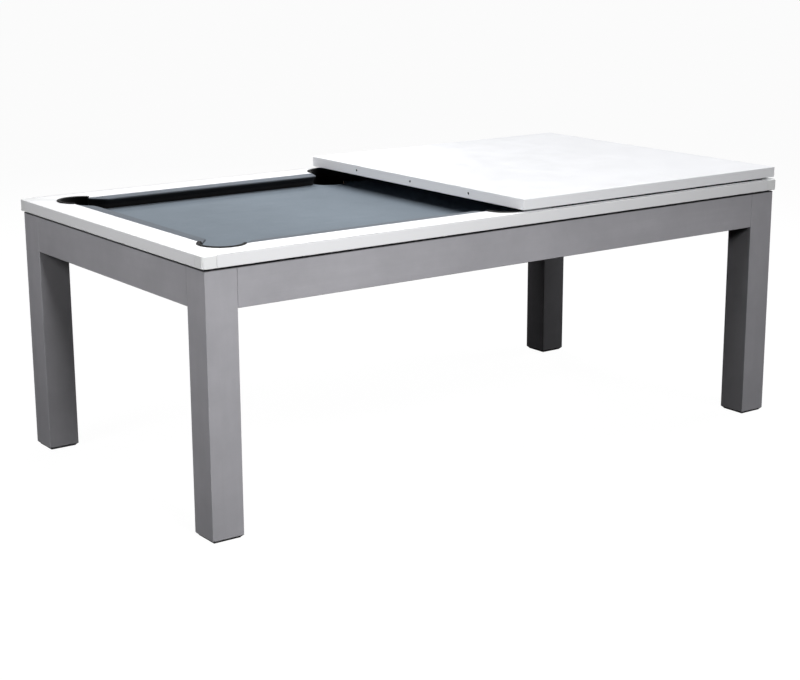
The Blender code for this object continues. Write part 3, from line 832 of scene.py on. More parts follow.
def joint_ends(offset):
    """Return both ends of the joint between rail and corner block, moved sideways by an offset.

    The joint is the line from the corner pocket's middle to the outer edge where the rail begins.
    """
    outer_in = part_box("rail_front")[0].x + HALF_LENGTH
    angle = math.atan2(-CORNER_POCKET_IN, outer_in - CORNER_POCKET_IN)
    along = np.array([math.cos(angle), math.sin(angle)])
    across = np.array([-along[1], along[0]])
    base = CORNER_POCKET_IN + across * offset
    outer = base - along * base[1] / along[1]
    inner = base + along * math.sqrt(POCKET_RADIUS**2 - offset**2)
    return outer, inner


def cut_end_angle(pocket_in):
    """Return the angle at which a pocket's cut meets the inner edge of the rail."""
    return math.asin((RAIL_WIDTH - pocket_in) / POCKET_RADIUS)


def direction(point, centre_in):
    """Return the angle of a point as seen from a pocket's middle, both distances in."""
    return math.atan2(point[1] - centre_in, point[0] - centre_in)


def rail_outline(side):
    """Return a rail's outline in (along, in), and the softness of the side after each point.

    It runs along the first joint, the corner cut, the inner edge with its middle cut, and back.
    """
    look = settings()
    half = HALF_LENGTH if side in ("front", "back") else HALF_WIDTH
    corner = (CORNER_POCKET_IN, CORNER_POCKET_IN)
    outer, inner = joint_ends(0.0)
    cut = arc(corner, POCKET_RADIUS, direction(inner, CORNER_POCKET_IN), cut_end_angle(CORNER_POCKET_IN))
    left = np.concatenate([outer[None], cut]) - (half, 0.0)
    parts = [left]
    if side in ("front", "back"):
        turn = cut_end_angle(MIDDLE_POCKET_IN)
        parts.append(arc((0.0, MIDDLE_POCKET_IN), POCKET_RADIUS, math.pi - turn, 2 * math.pi + turn))
    parts.append(left[::-1] * (-1.0, 1.0))
    outline = np.concatenate(parts)
    softness = np.full(len(outline), look.cut_softness)
    softness[[0, -2]] = look.joint_softness
    softness[-1] = 1.0
    return outline, softness


class POOLTABLE_OT_rails(bpy.types.Operator):
    """Make the four white rails with rounded edges and the pocket cuts"""

    bl_idname = "pooltable.rails"
    bl_label = "Rails"

    def execute(self, context):
        for side in SIDES:
            plan, softness = rail_outline(side)
            outline = side_place(side)(plan[:, 0], plan[:, 1], 0.0)[:, :2]
            surface = Surface()
            add_rounded_board(surface, outline, RAIL_BOTTOM, RAIL_TOP, settings().rail_edge, softness)
            piece = surface.make(f"finished_rail_{side}", finish("white_lacquer"))
            settle(piece, replaced=[f"rail_{side}"])
        return {"FINISHED"}


class POOLTABLE_OT_corner_blocks(bpy.types.Operator):
    """Make the four rounded corner blocks between the rails"""

    bl_idname = "pooltable.corner_blocks"
    bl_label = "Corner blocks"

    def execute(self, context):
        look = settings()
        for corner in CORNERS:
            outer, inner = joint_ends(-look.joint_gap)
            turn = look.corner_round
            nose = arc((turn, turn), turn, -math.pi / 2, -math.pi)
            start = direction(inner[::-1], CORNER_POCKET_IN)
            end = direction(inner, CORNER_POCKET_IN)
            cut = arc((CORNER_POCKET_IN, CORNER_POCKET_IN), POCKET_RADIUS, start, end)
            plan = np.concatenate([outer[None], nose, outer[None, ::-1], cut])
            softness = np.ones(len(plan))
            softness[len(nose) + 1 :] = look.cut_softness
            softness[[len(nose) + 1, -1]] = look.joint_softness
            outline = corner_place(corner)(plan[:, 0], plan[:, 1], 0.0)[:, :2]
            surface = Surface()
            add_rounded_board(surface, outline, RAIL_BOTTOM, RAIL_TOP, look.rail_edge, softness)
            piece = surface.make(f"finished_corner_block_{corner}", finish("corner_lacquer"))
            settle(piece, replaced=[f"corner_block_{corner}"])
        return {"FINISHED"}


# Cushions


def cushion_profile():
    """Return the cushion's rounded section as (share of the reach, height), from its back foot.

    It goes along the foot, up the hollow under the nose, over the nose and back along the sloping top.
    Also return how far along it, in metres, the cloth colour begins; the faces below it get the painted
    shade.
    """
    look = settings()
    low, high = CUSHION_LOW.z, CUSHION_HIGH.z
    skin = look.cushion_swell
    nose_top = RAIL_TOP - look.nose_drop - skin
    reach = CUSHION_REACH
    foot = reach - look.nose_overhang
    corners = [
        (0.0, low),
        (foot - look.hollow, low),
        (foot, low + look.hollow_height),
        (reach - skin, nose_top - look.nose_height),
        (reach - skin, nose_top),
        (0.0, high - skin),
    ]
    line = rounded(corners, (0.0005, 0.0020, 0.0080, 0.0018, 0.0022, 0.0016), steps=7)
    line = supported(line, reach=0.0012)
    length = path_length(line)
    below = (line[:, 1] < nose_top - look.nose_height * 0.6) & (line[:, 0] > foot)
    return line / (reach, 1.0), length[np.flatnonzero(below)[-1]]


def nose_shade_band():
    """Return the distances along the section between which the cloth at the nose is painted dark, as
    painted shade.
    """
    start = cushion_profile()[1]
    return start, start + settings().nose_shade_width


def cushion_path(start, end, start_slope, end_slope):
    """Return (along, reach) pairs of a cushion's nose line, from pocket to pocket.

    The line stands a little off the rail at the first pocket, turns along the cushion on a round
    corner, and goes back to the second pocket. Long straight stretches are divided evenly.
    """
    look = settings()
    first = look.facing_start
    full = CUSHION_REACH
    corners = [
        (start, first),
        (start + start_slope * full, full),
        (end + end_slope * full, full),
        (end, first),
    ]
    line = rounded(corners, (0.0, look.facing_round, look.facing_round, 0.0), steps=12, closed=False)
    length = path_length(line)
    count = math.ceil(length[-1] / look.cushion_step)
    even = np.linspace(0.0, length[-1], count + 1)
    fine = np.unique(np.concatenate([even, length]).round(5))
    return np.stack([np.interp(fine, length, line[:, 0]), np.interp(fine, length, line[:, 1])], axis=1)


def cushion_surface(side, part):
    """Build one cushion: its section stretched to the reach of the nose line at each place.

    The point at path place s and section place t is along(s), reach(s) * share(t), height(t).
    """
    look = settings()
    half = HALF_LENGTH if side in ("front", "back") else HALF_WIDTH
    corner_reach = math.sqrt(POCKET_RADIUS**2 - (CORNER_POCKET_IN - RAIL_WIDTH) ** 2)
    outer = half - CORNER_POCKET_IN - corner_reach - look.facing_gap
    inner = math.sqrt(POCKET_RADIUS**2 - (RAIL_WIDTH - MIDDLE_POCKET_IN) ** 2) + look.facing_gap
    steep = look.middle_slope
    ends = {
        "left": (-outer, -inner, 1.0, -steep),
        "right": (inner, outer, steep, -1.0),
        "": (-outer, outer, 1.0, -1.0),
    }[part]
    path = cushion_path(*ends)
    section = cushion_profile()[0]
    along = path[:, 0, None]
    inwards = RAIL_WIDTH + GAP + path[:, 1, None] * section[None, :, 0]
    height = np.broadcast_to(section[None, :, 1], inwards.shape)
    points = side_place(side)(along, inwards, height)
    surface = Surface()
    surface.add_grid(points, ring=True)
    # Zero cloth coordinates put the end caps in the painted shade colour.
    painted_dark = np.zeros((len(section), 2))
    fill_ring(surface, points[0], painted_dark)
    fill_ring(surface, points[-1], painted_dark)
    return surface


def blacken_shaded_faces(piece, cloth_start):
    """Give the faces under the nose, and both ends, a near-black colour: painted shade under the nose's
    overhang and at the ends.
    """
    mesh = piece.data
    mesh.materials.append(finish("cushion_rubber"))
    across = np.empty(len(mesh.loops) * 2)
    mesh.uv_layers["cloth"].data.foreach_get("uv", across)
    starts = np.empty(len(mesh.polygons), int)
    mesh.polygons.foreach_get("loop_start", starts)
    lowest = np.minimum.reduceat(across[1::2], starts)
    mesh.polygons.foreach_set("material_index", (lowest < cloth_start - 1e-6).astype(int))


def stretch_cloth(piece, limit):
    """Swell a piece's skin with a cloth simulation under light pressure, and cap the movement.

    The foot and the back stay pinned, as cloth is that is stapled under the rail. Each point
    ends no further than the limit from where it started.
    """
    mesh = piece.data
    before = np.empty(len(mesh.vertices) * 3)
    mesh.vertices.foreach_get("co", before)
    before = before.reshape(-1, 3)
    low = before[:, 2].min()
    limits = np.array([HALF_LENGTH, HALF_WIDTH]) - RAIL_WIDTH - PIN_DEPTH
    outwards = np.abs(before[:, :2]) > limits
    pinned = outwards.any(axis=1) | (before[:, 2] < low + PIN_HEIGHT)
    group = piece.vertex_groups.new(name="held")
    group.add(np.flatnonzero(pinned).tolist(), 1.0, "REPLACE")
    cloth = piece.modifiers.new("cloth", "CLOTH")
    cloth.settings.quality = 6
    cloth.settings.mass = 0.3
    cloth.settings.tension_stiffness = 60.0
    cloth.settings.compression_stiffness = 60.0
    cloth.settings.shear_stiffness = 20.0
    cloth.settings.bending_stiffness = 4.0
    cloth.settings.vertex_group_mass = "held"
    cloth.settings.use_pressure = True
    cloth.settings.uniform_pressure_force = 4.0
    cloth.settings.effector_weights.gravity = 0.0
    cloth.collision_settings.use_collision = False
    cloth.point_cache.frame_start = 1
    cloth.point_cache.frame_end = SIMULATION_FRAMES
    for number in range(1, SIMULATION_FRAMES + 1):
        bpy.context.scene.frame_set(number)
    shaped = piece.evaluated_get(bpy.context.evaluated_depsgraph_get())
    after = np.empty(len(mesh.vertices) * 3)
    shaped.data.vertices.foreach_get("co", after)
    moved = after.reshape(-1, 3) - before
    distance = np.linalg.norm(moved, axis=1, keepdims=True)
    moved *= np.minimum(1.0, limit / np.maximum(distance, 1e-9))
    piece.modifiers.remove(cloth)
    piece.vertex_groups.remove(group)
    mesh.vertices.foreach_set("co", (before + moved).ravel())
    mesh.update()
    bpy.context.scene.frame_set(1)


class POOLTABLE_OT_cushions(bpy.types.Operator):
    """Make the six cloth-covered cushions and stretch their cloth"""

    bl_idname = "pooltable.cushions"
    bl_label = "Cushions"

    def execute(self, context):
        for side, part in CUSHIONS:
            name = f"cushion_{side}_{part}" if part else f"cushion_{side}"
            surface = cushion_surface(side, part)
            piece = surface.make(f"covered_{name}", finish("cushion_cloth"), math.radians(50.0))
            blacken_shaded_faces(piece, cushion_profile()[1])
            stretch_cloth(piece, settings().cushion_swell)
            settle(piece, replaced=[name])
        return {"FINISHED"}


# Bed cloth


def cloth_outline():
    """Return the cloth's outline, anticlockwise, and how far it wraps down at each point.

    One quarter runs from the middle pocket to the corner pocket. Round a pocket's mouth the
    cloth folds over the edge of the bed; elsewhere it is cut flush on top of it.
    """
    look = settings()
    edge = BED_EDGE_IN + look.cloth_trim
    leg = LEG_IN + look.cloth_trim
    wrap_in = look.cloth_thickness + GAP

    def mouth(centre, start, end, open_start, open_end):
        """Return an arc round a pocket hole, tighter where the cloth folds into the mouth."""
        angle = np.linspace(start, end, math.ceil(abs(end - start) / FINE_ARC) + 1)
        fade = look.mouth_fade
        share = np.clip((angle - open_start) / fade, 0.0, 1.0)
        share *= np.clip((open_end - angle) / fade, 0.0, 1.0)
        share = share * share * (3 - 2 * share)
        radius = HOLE_RADIUS + look.cloth_trim - share * (look.cloth_trim + wrap_in)
        plan = np.stack([centre[0] + radius * np.cos(angle), centre[1] + radius * np.sin(angle)], axis=1)
        return plan, share

    centre = (CORNER_POCKET_IN, CORNER_POCKET_IN)
    radius = HOLE_RADIUS + look.cloth_trim
    entry = math.asin((leg - CORNER_POCKET_IN) / radius)
    turn = cut_end_angle(CORNER_POCKET_IN)
    corner, corner_share = mouth(centre, entry - math.pi / 2, math.pi - entry, turn, math.pi / 2 - turn)
    corner_plan = np.concatenate([[(edge, leg)], corner[::-1], [(leg, edge)]])
    corner_share = np.concatenate([[0.0], corner_share[::-1], [0.0]])
    turn = cut_end_angle(MIDDLE_POCKET_IN)
    turn -= MOUTH_INSET
    middle, middle_share = mouth((0.0, MIDDLE_POCKET_IN), 0.0, math.pi, -turn, math.pi + turn)
    middle_plan = np.concatenate([[(-radius, edge)], middle[::-1], [(radius, edge)]])
    middle_share = np.concatenate([[0.0], middle_share[::-1], [0.0]])
    left_plan = corner_plan - (HALF_LENGTH, 0.0)
    front = np.concatenate([left_plan, middle_plan, left_plan[::-1] * (-1.0, 1.0)])
    front_share = np.concatenate([corner_share, middle_share, corner_share[::-1]])
    front = front - (0.0, HALF_WIDTH)
    outline = np.concatenate([front, -front])
    return outline, np.concatenate([front_share, front_share])


def bed_cloth_surface():
    """Build the cloth: its outline carried over a rounded edge, then filled flat.

    Ring t lies at outline(s) - mitre(s) * inset(t), lowered by drop(t) * share(s), where the
    share is one round a pocket's mouth and nearly nothing elsewhere.
    """
    look = settings()
    outline, share = cloth_outline()
    turn = np.linspace(0.0, math.pi / 2, 6)
    fold = look.cloth_fold
    wrap = look.cloth_wrap
    inset = np.concatenate([[0.0, 0.0, 0.0], fold * (1 - np.cos(turn[1:])), [fold + SUPPORT]])
    drop = np.concatenate([[wrap, wrap * 0.6, fold], fold * (1 - np.sin(turn[1:])), [0.0]])
    share = np.maximum(share, LEAST_DROP)
    plan = outline[None] - mitres(outline)[None] * inset[:, None, None]
    height = CLOTH_TOP - drop[:, None] * share[None]
    points = np.concatenate([plan, height[..., None]], axis=2)
    surface = Surface()
    surface.add_grid(points, ring=True)
    fill_ring(surface, points[-1])
    return surface, outline


class POOLTABLE_OT_bed_cloth(bpy.types.Operator):
    """Stretch the playing cloth over the bed and fold it into the pocket mouths"""

    bl_idname = "pooltable.bed_cloth"
    bl_label = "Bed cloth"

    def execute(self, context):
        look = settings()
        surface, outline = bed_cloth_surface()
        piece = surface.make("playing_cloth", finish("bed_cloth"), closed=False)
        if piece.data.polygons[-1].normal.z < 0:
            piece.data.flip_normals()
        thick = piece.modifiers.new("thickness", "SOLIDIFY")
        thick.thickness = look.cloth_thickness
        thick.offset = -1.0
        thick.use_even_offset = True
        settle(piece, replaced=["bed_cloth"])
        return {"FINISHED"}


# Pockets


def pocket_places():
    """Return each pocket's name, its middle, its map to the table and its cut's two end angles."""
    turn = cut_end_angle(CORNER_POCKET_IN)
    middle_turn = cut_end_angle(MIDDLE_POCKET_IN)
    corner = (CORNER_POCKET_IN, CORNER_POCKET_IN)
    found = [
        (name, corner, corner_place(name), math.pi / 2 - turn, 2 * math.pi + turn) for name in CORNERS
    ]
    for side in ("front", "back"):
        start, end = math.pi - middle_turn, 2 * math.pi + middle_turn
        found.append((f"{side}_middle", (0.0, MIDDLE_POCKET_IN), side_place(side), start, end))
    return found


def liner_section():
    """Return the liner's rounded section as (radius, height), from the foot of its inner wall."""
    look = settings()
    outer = POCKET_RADIUS - GAP
    inner = outer - look.liner_wall
    lip = POCKET_RADIUS + look.lip_overlap
    foot = CUP_HIGH.z + GAP
    seat = RAIL_TOP + GAP
    corners = [
        (inner, foot),
        (outer, foot),
        (outer, seat),
        (lip, seat),
        (lip, LINER_TOP),
        (inner, LINER_TOP),
    ]
    line = rounded(corners, (0.0010, 0.0010, 0.0003, 0.0004, 0.0016, 0.0026), steps=6)
    return supported(line, reach=0.0008)


def liner_surface(centre, place, start, end):
    """Build a liner: its section carried round the pocket, and narrowed to a rounded end.

    The point at angle a and section place t is centre + radius(t) * (cos a, sin a). At both ends
    the section shrinks towards its middle by a quarter circle over the last few millimetres.
    """
    look = settings()
    section = liner_section()
    start -= look.lip_reach / POCKET_RADIUS
    end += look.lip_reach / POCKET_RADIUS
    turn = np.linspace(0.0, math.pi / 2, 6)[:-1]
    tip = look.lip_tip / POCKET_RADIUS
    body = np.linspace(start + tip, end - tip, math.ceil((end - start) / FINE_ARC) + 1)
    angle = np.concatenate([start + tip * (1 - np.cos(turn)), body, end - tip * (1 - np.cos(turn[::-1]))])
    shrink = np.concatenate([1 - np.sin(turn), np.zeros(len(body)), 1 - np.sin(turn[::-1])])
    middle = (section.min(axis=0) + section.max(axis=0)) / 2
    reach = np.clip(section - middle, -look.lip_tip, look.lip_tip)
    pull = np.clip(shrink, 0.0, 1.0)[:, None, None] * reach
    shaped = section[None] - pull * look.tip_round
    u = centre[0] + shaped[..., 0] * np.cos(angle)[:, None]
    v = centre[1] + shaped[..., 0] * np.sin(angle)[:, None]
    points = place(u, v, shaped[..., 1])
    surface = Surface()
    surface.add_grid(points, ring=True)
    fill_ring(surface, points[0])
    fill_ring(surface, points[-1])
    return surface


class POOLTABLE_OT_pocket_liners(bpy.types.Operator):
    """Make the six moulded pocket liners with their raised lips"""

    bl_idname = "pooltable.pocket_liners"
    bl_label = "Pocket liners"

    def execute(self, context):
        for name, centre, place, start, end in pocket_places():
            surface = liner_surface(centre, place, start, end)
            piece = surface.make(f"moulded_liner_{name}", finish("pocket_rubber"), math.radians(60.0))
            settle(piece, replaced=[f"pocket_liner_{name}"])
        return {"FINISHED"}


def cup_surface(name, centre, place):
    """Build a cup: a turned section with upright ribs and a rolled rim.

    The point at angle a and section place t is centre + (radius(t) - groove(a) * side(t)) *
    (cos a, sin a). The groove is a raised cosine of the number of ribs times a, and the side is
    one on the outer wall, from within its round foot to a little below its rim.
    """
    look = settings()
    low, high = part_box(f"pocket_cup_{name}")
    outer = CUP_RADIUS
    wall = look.cup_wall
    corners = [
        (0.0, low.z),
        (outer, low.z),
        (outer, high.z),
        (outer - wall, high.z),
        (outer - wall, low.z + wall),
        (0.0, low.z + wall),
    ]
    radii = (0.0, look.cup_round, CUP_RIM, CUP_RIM, look.cup_round - wall, 0.0)
    section = rounded(corners, radii, steps=7, closed=False)
    rim_start = int(np.argmax(section[:, 0] >= outer - 1e-7)) + 1
    levels = np.linspace(low.z + look.cup_round, high.z - CUP_RIM - 0.0001, 14)[1:-1]
    tall = np.stack([np.full(len(levels), outer), levels], axis=1)
    foot = np.full(len(section), RIB_START * look.cup_round)
    foot = low.z + np.insert(foot, rim_start, np.full(len(levels), look.cup_round))
    section = np.insert(section, rim_start, tall, axis=0)
    height = section[:, 1]
    side = np.clip((height - foot) / RIB_FOOT_FADE, 0.0, 1.0)
    side *= np.clip((high.z - RIB_HEAD_GAP - height) / RIB_HEAD_FADE, 0.0, 1.0)
    side *= section[:, 0] > outer - wall / 2
    angle = np.linspace(0.0, 2 * math.pi, look.cup_ribs * 6, endpoint=False)
    groove = look.rib_depth * (0.5 - 0.5 * np.cos(look.cup_ribs * angle)) ** 2
    radius = section[:, 0, None] - side[:, None] * groove[None]
    u = centre[0] + radius * np.cos(angle)
    v = centre[1] + radius * np.sin(angle)
    points = place(u, v, height[:, None])
    surface = Surface()
    surface.add_grid(points, ring=True)
    return surface


def tab_plan():
    """Return the outline of a cup's tab in (outwards, sideways) from the cup's middle."""
    look = settings()
    near = CUP_RADIUS - look.cup_wall / 2
    far = CUP_RADIUS + look.tab_length
    half = look.tab_width / 2
    corners = [(near, -half), (far, -half), (far, half), (near, half)]
    return rounded(corners, (0.0, half * 0.6, half * 0.6, 0.0), steps=8)


def turning(angle):
    """Return the matrix that turns rows of (x, y) by an angle."""
    return np.array([[math.cos(angle), math.sin(angle)], [-math.sin(angle), math.cos(angle)]])


class POOLTABLE_OT_pocket_cups(bpy.types.Operator):
    """Make the six ribbed pocket cups with their tabs"""

    bl_idname = "pooltable.pocket_cups"
    bl_label = "Pocket cups"

    def execute(self, context):
        look = settings()
        for name, centre, place, _, _ in pocket_places():
            surface = cup_surface(name, centre, place)
            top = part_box(f"pocket_cup_{name}")[1].z
            for angle in tab_angles(name):
                turned = tab_plan() @ turning(angle)
                outline = place(centre[0] + turned[:, 0], centre[1] + turned[:, 1], 0.0)[:, :2]
                add_rounded_board(surface, outline, top - look.tab_thickness, top, look.tab_edge)
            piece = surface.make(f"moulded_cup_{name}", finish("cup_plastic"), math.radians(50.0))
            settle(piece, replaced=[f"pocket_cup_{name}"])
        return {"FINISHED"}


def tab_angles(name):
    """Return the directions of a cup's two tabs, seen from its middle."""
    return (0.0, math.pi) if name.endswith("middle") else (0.0, math.pi / 2)


# Screws


def add_screw(surface, place, normal):
    """Add a pan-head screw: height(r, a) is a flattened dome, less a cross recess at its middle."""
    look = settings()
    radius = look.screw_radius
    angle = np.linspace(0.0, 2 * math.pi, 32, endpoint=False)
    reach = np.array([1.0, 1.0, 0.97, 0.88, 0.72, 0.58, 0.46, 0.34, 0.20, 0.06])
    dome = np.array([0.0, 0.45, 0.72, 0.90, 0.98, 1.0, 1.0, 1.0, 1.0, 1.0])
    off_cross = np.minimum(np.abs(np.sin(angle)), np.abs(np.cos(angle))) * reach[:, None]
    cross = np.clip(1.5 - 18.0 * off_cross, 0.0, 1.0)
    recess = cross * np.clip((0.56 - reach) / 0.10, 0.0, 1.0)[:, None]
    height = look.screw_height * (dome[:, None] - 0.75 * recess)
    normal = np.asarray(normal, float)
    first = np.cross(normal, (0.3, 0.5, 0.8))
    first /= np.linalg.norm(first)
    second = np.cross(normal, first)
    flat = reach[:, None] * radius
    points = (
        np.asarray(place, float)
        + (flat * np.cos(angle))[..., None] * first
        + (flat * np.sin(angle))[..., None] * second
        + height[..., None] * normal
    )
    surface.add_grid(points, ring=True)
    fill_ring(surface, points[0])
    fill_ring(surface, points[-1])


class POOLTABLE_OT_screws(bpy.types.Operator):
    """Set the screws in the brackets and in the tabs of the pocket cups"""

    bl_idname = "pooltable.screws"
    bl_label = "Screws"

    def execute(self, context):
        look = settings()
        for corner, (sign_x, sign_y) in CORNERS.items():
            surface = Surface()
            for kind in ("long", "short"):
                low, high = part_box(f"bracket_{kind}_{corner}")
                thick = look.bracket_thickness
                outer = np.array([low.x if sign_x < 0 else high.x, low.y if sign_y < 0 else high.y])
                width = high.x - low.x
                inset = look.screw_inset
                along_x = outer + (-sign_x * (width - inset), -sign_y * thick)
                along_y = outer + (-sign_x * thick, -sign_y * (width - inset))
                for height in (low.z + inset, high.z - inset):
                    add_screw(surface, (*along_x, height), (0.0, -sign_y, 0.0))
                    add_screw(surface, (*along_y, height), (-sign_x, 0.0, 0.0))
            piece = surface.make(f"bracket_screws_{corner}", finish("zinc_steel"), math.radians(40.0))
            settle(piece)
        for name, centre, place, _, _ in pocket_places():
            surface = Surface()
            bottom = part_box(f"pocket_cup_{name}")[1].z - look.tab_thickness
            for angle in tab_angles(name):
                reach = CUP_RADIUS + look.tab_length * 0.5
                u = centre[0] + reach * math.cos(angle)
                v = centre[1] + reach * math.sin(angle)
                add_screw(surface, place(u, v, bottom), (0.0, 0.0, -1.0))
            piece = surface.make(f"cup_screws_{name}", finish("zinc_steel"), math.radians(40.0))
            settle(piece)
        return {"FINISHED"}


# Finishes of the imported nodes


class POOLTABLE_OT_base(bpy.types.Operator):
    """Paint the legs and aprons, and finish the strips, brackets, bed, beams and pads"""

    bl_idname = "pooltable.base"
    bl_label = "Base"

    def execute(self, context):
        for corner in CORNERS:
            dress_node(f"leg_{corner}", "grey_paint_upright")
            dress_node(f"foot_pad_{corner}", "black_felt")
            for kind in ("long", "short"):
                dress_node(f"bracket_{kind}_{corner}", "zinc_steel")
        for side in SIDES:
            run = "long" if side in ("front", "back") else "cross"
            dress_node(f"apron_{side}", f"grey_paint_{run}")
            dress_node(f"shadow_strip_{side}", f"black_strip_{run}")
        dress_node("bed_panel", "bed_board")
        for name in frame["nodes"]:
            if name.startswith("cross_beam_"):
                dress_node(name, "beam_wood")
        return {"FINISHED"}


class POOLTABLE_OT_dining_top(bpy.types.Operator):
    """Finish the half of the dining top and the felt strips that it rests on"""

    bl_idname = "pooltable.dining_top"
    bl_label = "Dining top"

    def execute(self, context):
        dress_node("dining_top_right", "top_lacquer")
        for name in ("top_felt_front", "top_felt_back", "top_felt_end"):
            dress_node(name, "black_felt")
        return {"FINISHED"}


# Stage


def aim(piece, place, target):
    """Put a light at a place and point it at a target."""
    piece.location = place
    piece.rotation_euler = (Vector(target) - Vector(place)).to_track_quat("-Z", "Y").to_euler()


def add_soft_light(name, place, target, size, power, spread=180.0, flagged=None):
    """Add a rectangular area light, its spread in degrees, and a flag that shades some pieces."""
    light = bpy.data.lights.new(name, "AREA")
    light.shape = "RECTANGLE"
    light.size, light.size_y = size
    light.energy = power
    light.spread = math.radians(spread)
    piece = bpy.data.objects.new(name, light)
    bpy.context.scene.collection.objects.link(piece)
    aim(piece, place, target)
    if flagged:
        piece.light_linking.receiver_collection = flagged


def flag(name, shaded):
    """Return a collection that keeps a light off the pieces whose names begin as given."""
    held_off = bpy.data.collections.new(name)
    for piece in bpy.context.scene.objects:
        if piece.name.startswith(shaded):
            held_off.objects.link(piece)
    for member in held_off.collection_objects:
        member.light_linking.link_state = "EXCLUDE"
    return held_off


def add_floor():
    """Add a wide pale floor that shows a soft shadow and throws little light back up."""
    look = settings()
    reach = look.floor_reach
    mesh = bpy.data.meshes.new("floor")
    corners = [(x * reach, y * reach, 0.0) for x, y in ((-1, -1), (1, -1), (1, 1), (-1, 1))]
    mesh.from_pydata(corners, [], [(0, 1, 2, 3)])
    material = bpy.data.materials.new("pale_floor")
    material.use_nodes = True
    nodes = Nodes(material.node_tree)
    nodes.tree.nodes.clear()
    seen = nodes.add("ShaderNodeLightPath").outputs["Is Camera Ray"]
    lit = nodes.add("ShaderNodeBsdfDiffuse", {"Color": opaque([look.floor_shade] * 3)}).outputs[0]
    glow = nodes.add("ShaderNodeEmission", {"Color": WHITE, "Strength": look.floor_glow}).outputs[0]
    pale = nodes.add("ShaderNodeAddShader", {0: lit, 1: glow}).outputs[0]
    dim = nodes.add("ShaderNodeBsdfDiffuse", {"Color": opaque([look.floor_bounce] * 3)}).outputs[0]
    mixed = nodes.add("ShaderNodeMixShader", {0: seen, 1: dim, 2: pale}).outputs[0]
    nodes.add("ShaderNodeOutputMaterial", {"Surface": mixed})
    mesh.materials.append(material)
    floor = bpy.data.objects.new("floor", mesh)
    bpy.context.scene.collection.objects.link(floor)


def set_world():
    """Make a white world that the camera sees, and a dimmer one that lights the table."""
    look = settings()
    world = bpy.data.worlds.new("studio")
    bpy.context.scene.world = world
    world.use_nodes = True
    nodes = Nodes(world.node_tree)
    nodes.tree.nodes.clear()
    seen = nodes.add("ShaderNodeLightPath").outputs["Is Camera Ray"]
    white = nodes.add("ShaderNodeBackground", {"Color": WHITE, "Strength": 1.0}).outputs[0]
    dimmed = {"Color": (0.95, 0.97, 1.0, 1.0), "Strength": look.world_light}
    soft = nodes.add("ShaderNodeBackground", dimmed).outputs[0]
    mixed = nodes.add("ShaderNodeMixShader", {0: seen, 1: soft, 2: white}).outputs[0]
    nodes.add("ShaderNodeOutputWorld", {"Surface": mixed})


def add_camera():
    """Add the camera at standing height off the front left corner, with a long lens."""
    look = settings()
    data = bpy.data.cameras.new("camera")
    data.sensor_fit = "HORIZONTAL"
    data.sensor_width = 36.0
    data.lens = look.lens
    data.clip_end = 200.0
    camera = bpy.data.objects.new("camera", data)
    bpy.context.scene.collection.objects.link(camera)
    yaw, pitch, roll = look.camera_yaw, look.camera_pitch, look.camera_roll
    ahead = Vector((math.cos(pitch) * math.cos(yaw), math.cos(pitch) * math.sin(yaw), math.sin(pitch)))
    right = ahead.cross(Vector((0.0, 0.0, 1.0))).normalized()
    up = right.cross(ahead)
    turned_right = right * math.cos(roll) + up * math.sin(roll)
    turned_up = up * math.cos(roll) - right * math.sin(roll)
    axes = Matrix((turned_right, turned_up, -ahead)).transposed()
    camera.matrix_world = Matrix.Translation(look.camera_place) @ axes.to_4x4()
    bpy.context.scene.camera = camera


class POOLTABLE_OT_stage(bpy.types.Operator):
    """Set up the floor, the soft lights and the camera"""

    bl_idname = "pooltable.stage"
    bl_label = "Stage"

    def execute(self, context):
        look = settings()
        add_floor()
        set_world()
        middle = (0.0, 0.0, RAIL_TOP)
        shaded = flag("shaded pieces", ("leg_back_right", "moulded_liner_"))
        sunk = flag("sunk pieces", ("leg_back_right", "moulded_liner_", "playing_", "covered_"))
        lights = (
            ("overhead", (0.55, 0.3, 3.2), middle, (3.4, 2.2), look.overhead_power),
            ("front", (-1.0, -3.4, 2.6), (-1.0, -0.5, 0.4), (1.2, 1.0), look.front_power, 75.0, sunk),
            ("right", (1.2, -3.4, 2.8), (0.8, -0.5, 0.5), (1.2, 0.8), look.right_power, 180.0, shaded),
            ("left", (-3.2, -0.25, 2.0), (-1.0, -0.25, 0.6), (1.2, 1.2), look.left_power, 180.0, sunk),
            ("end", (3.9, -0.2, 2.2), (1.0, 0.0, 0.5), (1.4, 1.2), look.end_power),
            ("back", (1.9, 3.9, 2.8), (0.3, 0.3, 0.5), (1.6, 1.2), look.back_power),
        )
        for light in lights:
            add_soft_light(*light)
        context.scene.view_settings.view_transform = "Standard"
        add_camera()
        return {"FINISHED"}


# Settings, panel and registration


def metres(name, default, description):
    """Return a length property."""
    return bpy.props.FloatProperty(
        name=name, default=default, description=description, unit="LENGTH", precision=4
    )


def ratio(name, default, description):
    """Return a property that is a share of something."""
    return bpy.props.FloatProperty(name=name, default=default, description=description, min=0.0, max=1.0)


def tint(name, default, description):
    """Return a colour property."""
    return bpy.props.FloatVectorProperty(
        name=name, default=default, description=description, subtype="COLOR", size=3, min=0.0, max=1.0
    )


def watts(name, default):
    """Return a light's power."""
    return bpy.props.FloatProperty(
        name=name, default=default, description=f"{name} in watts", unit="POWER"
    )


def degrees(name, default, description):
    """Return an angle property whose default is in degrees."""
    return bpy.props.FloatProperty(
        name=name,
        default=math.radians(default),
        description=description,
        subtype="ANGLE",
        unit="ROTATION",
    )


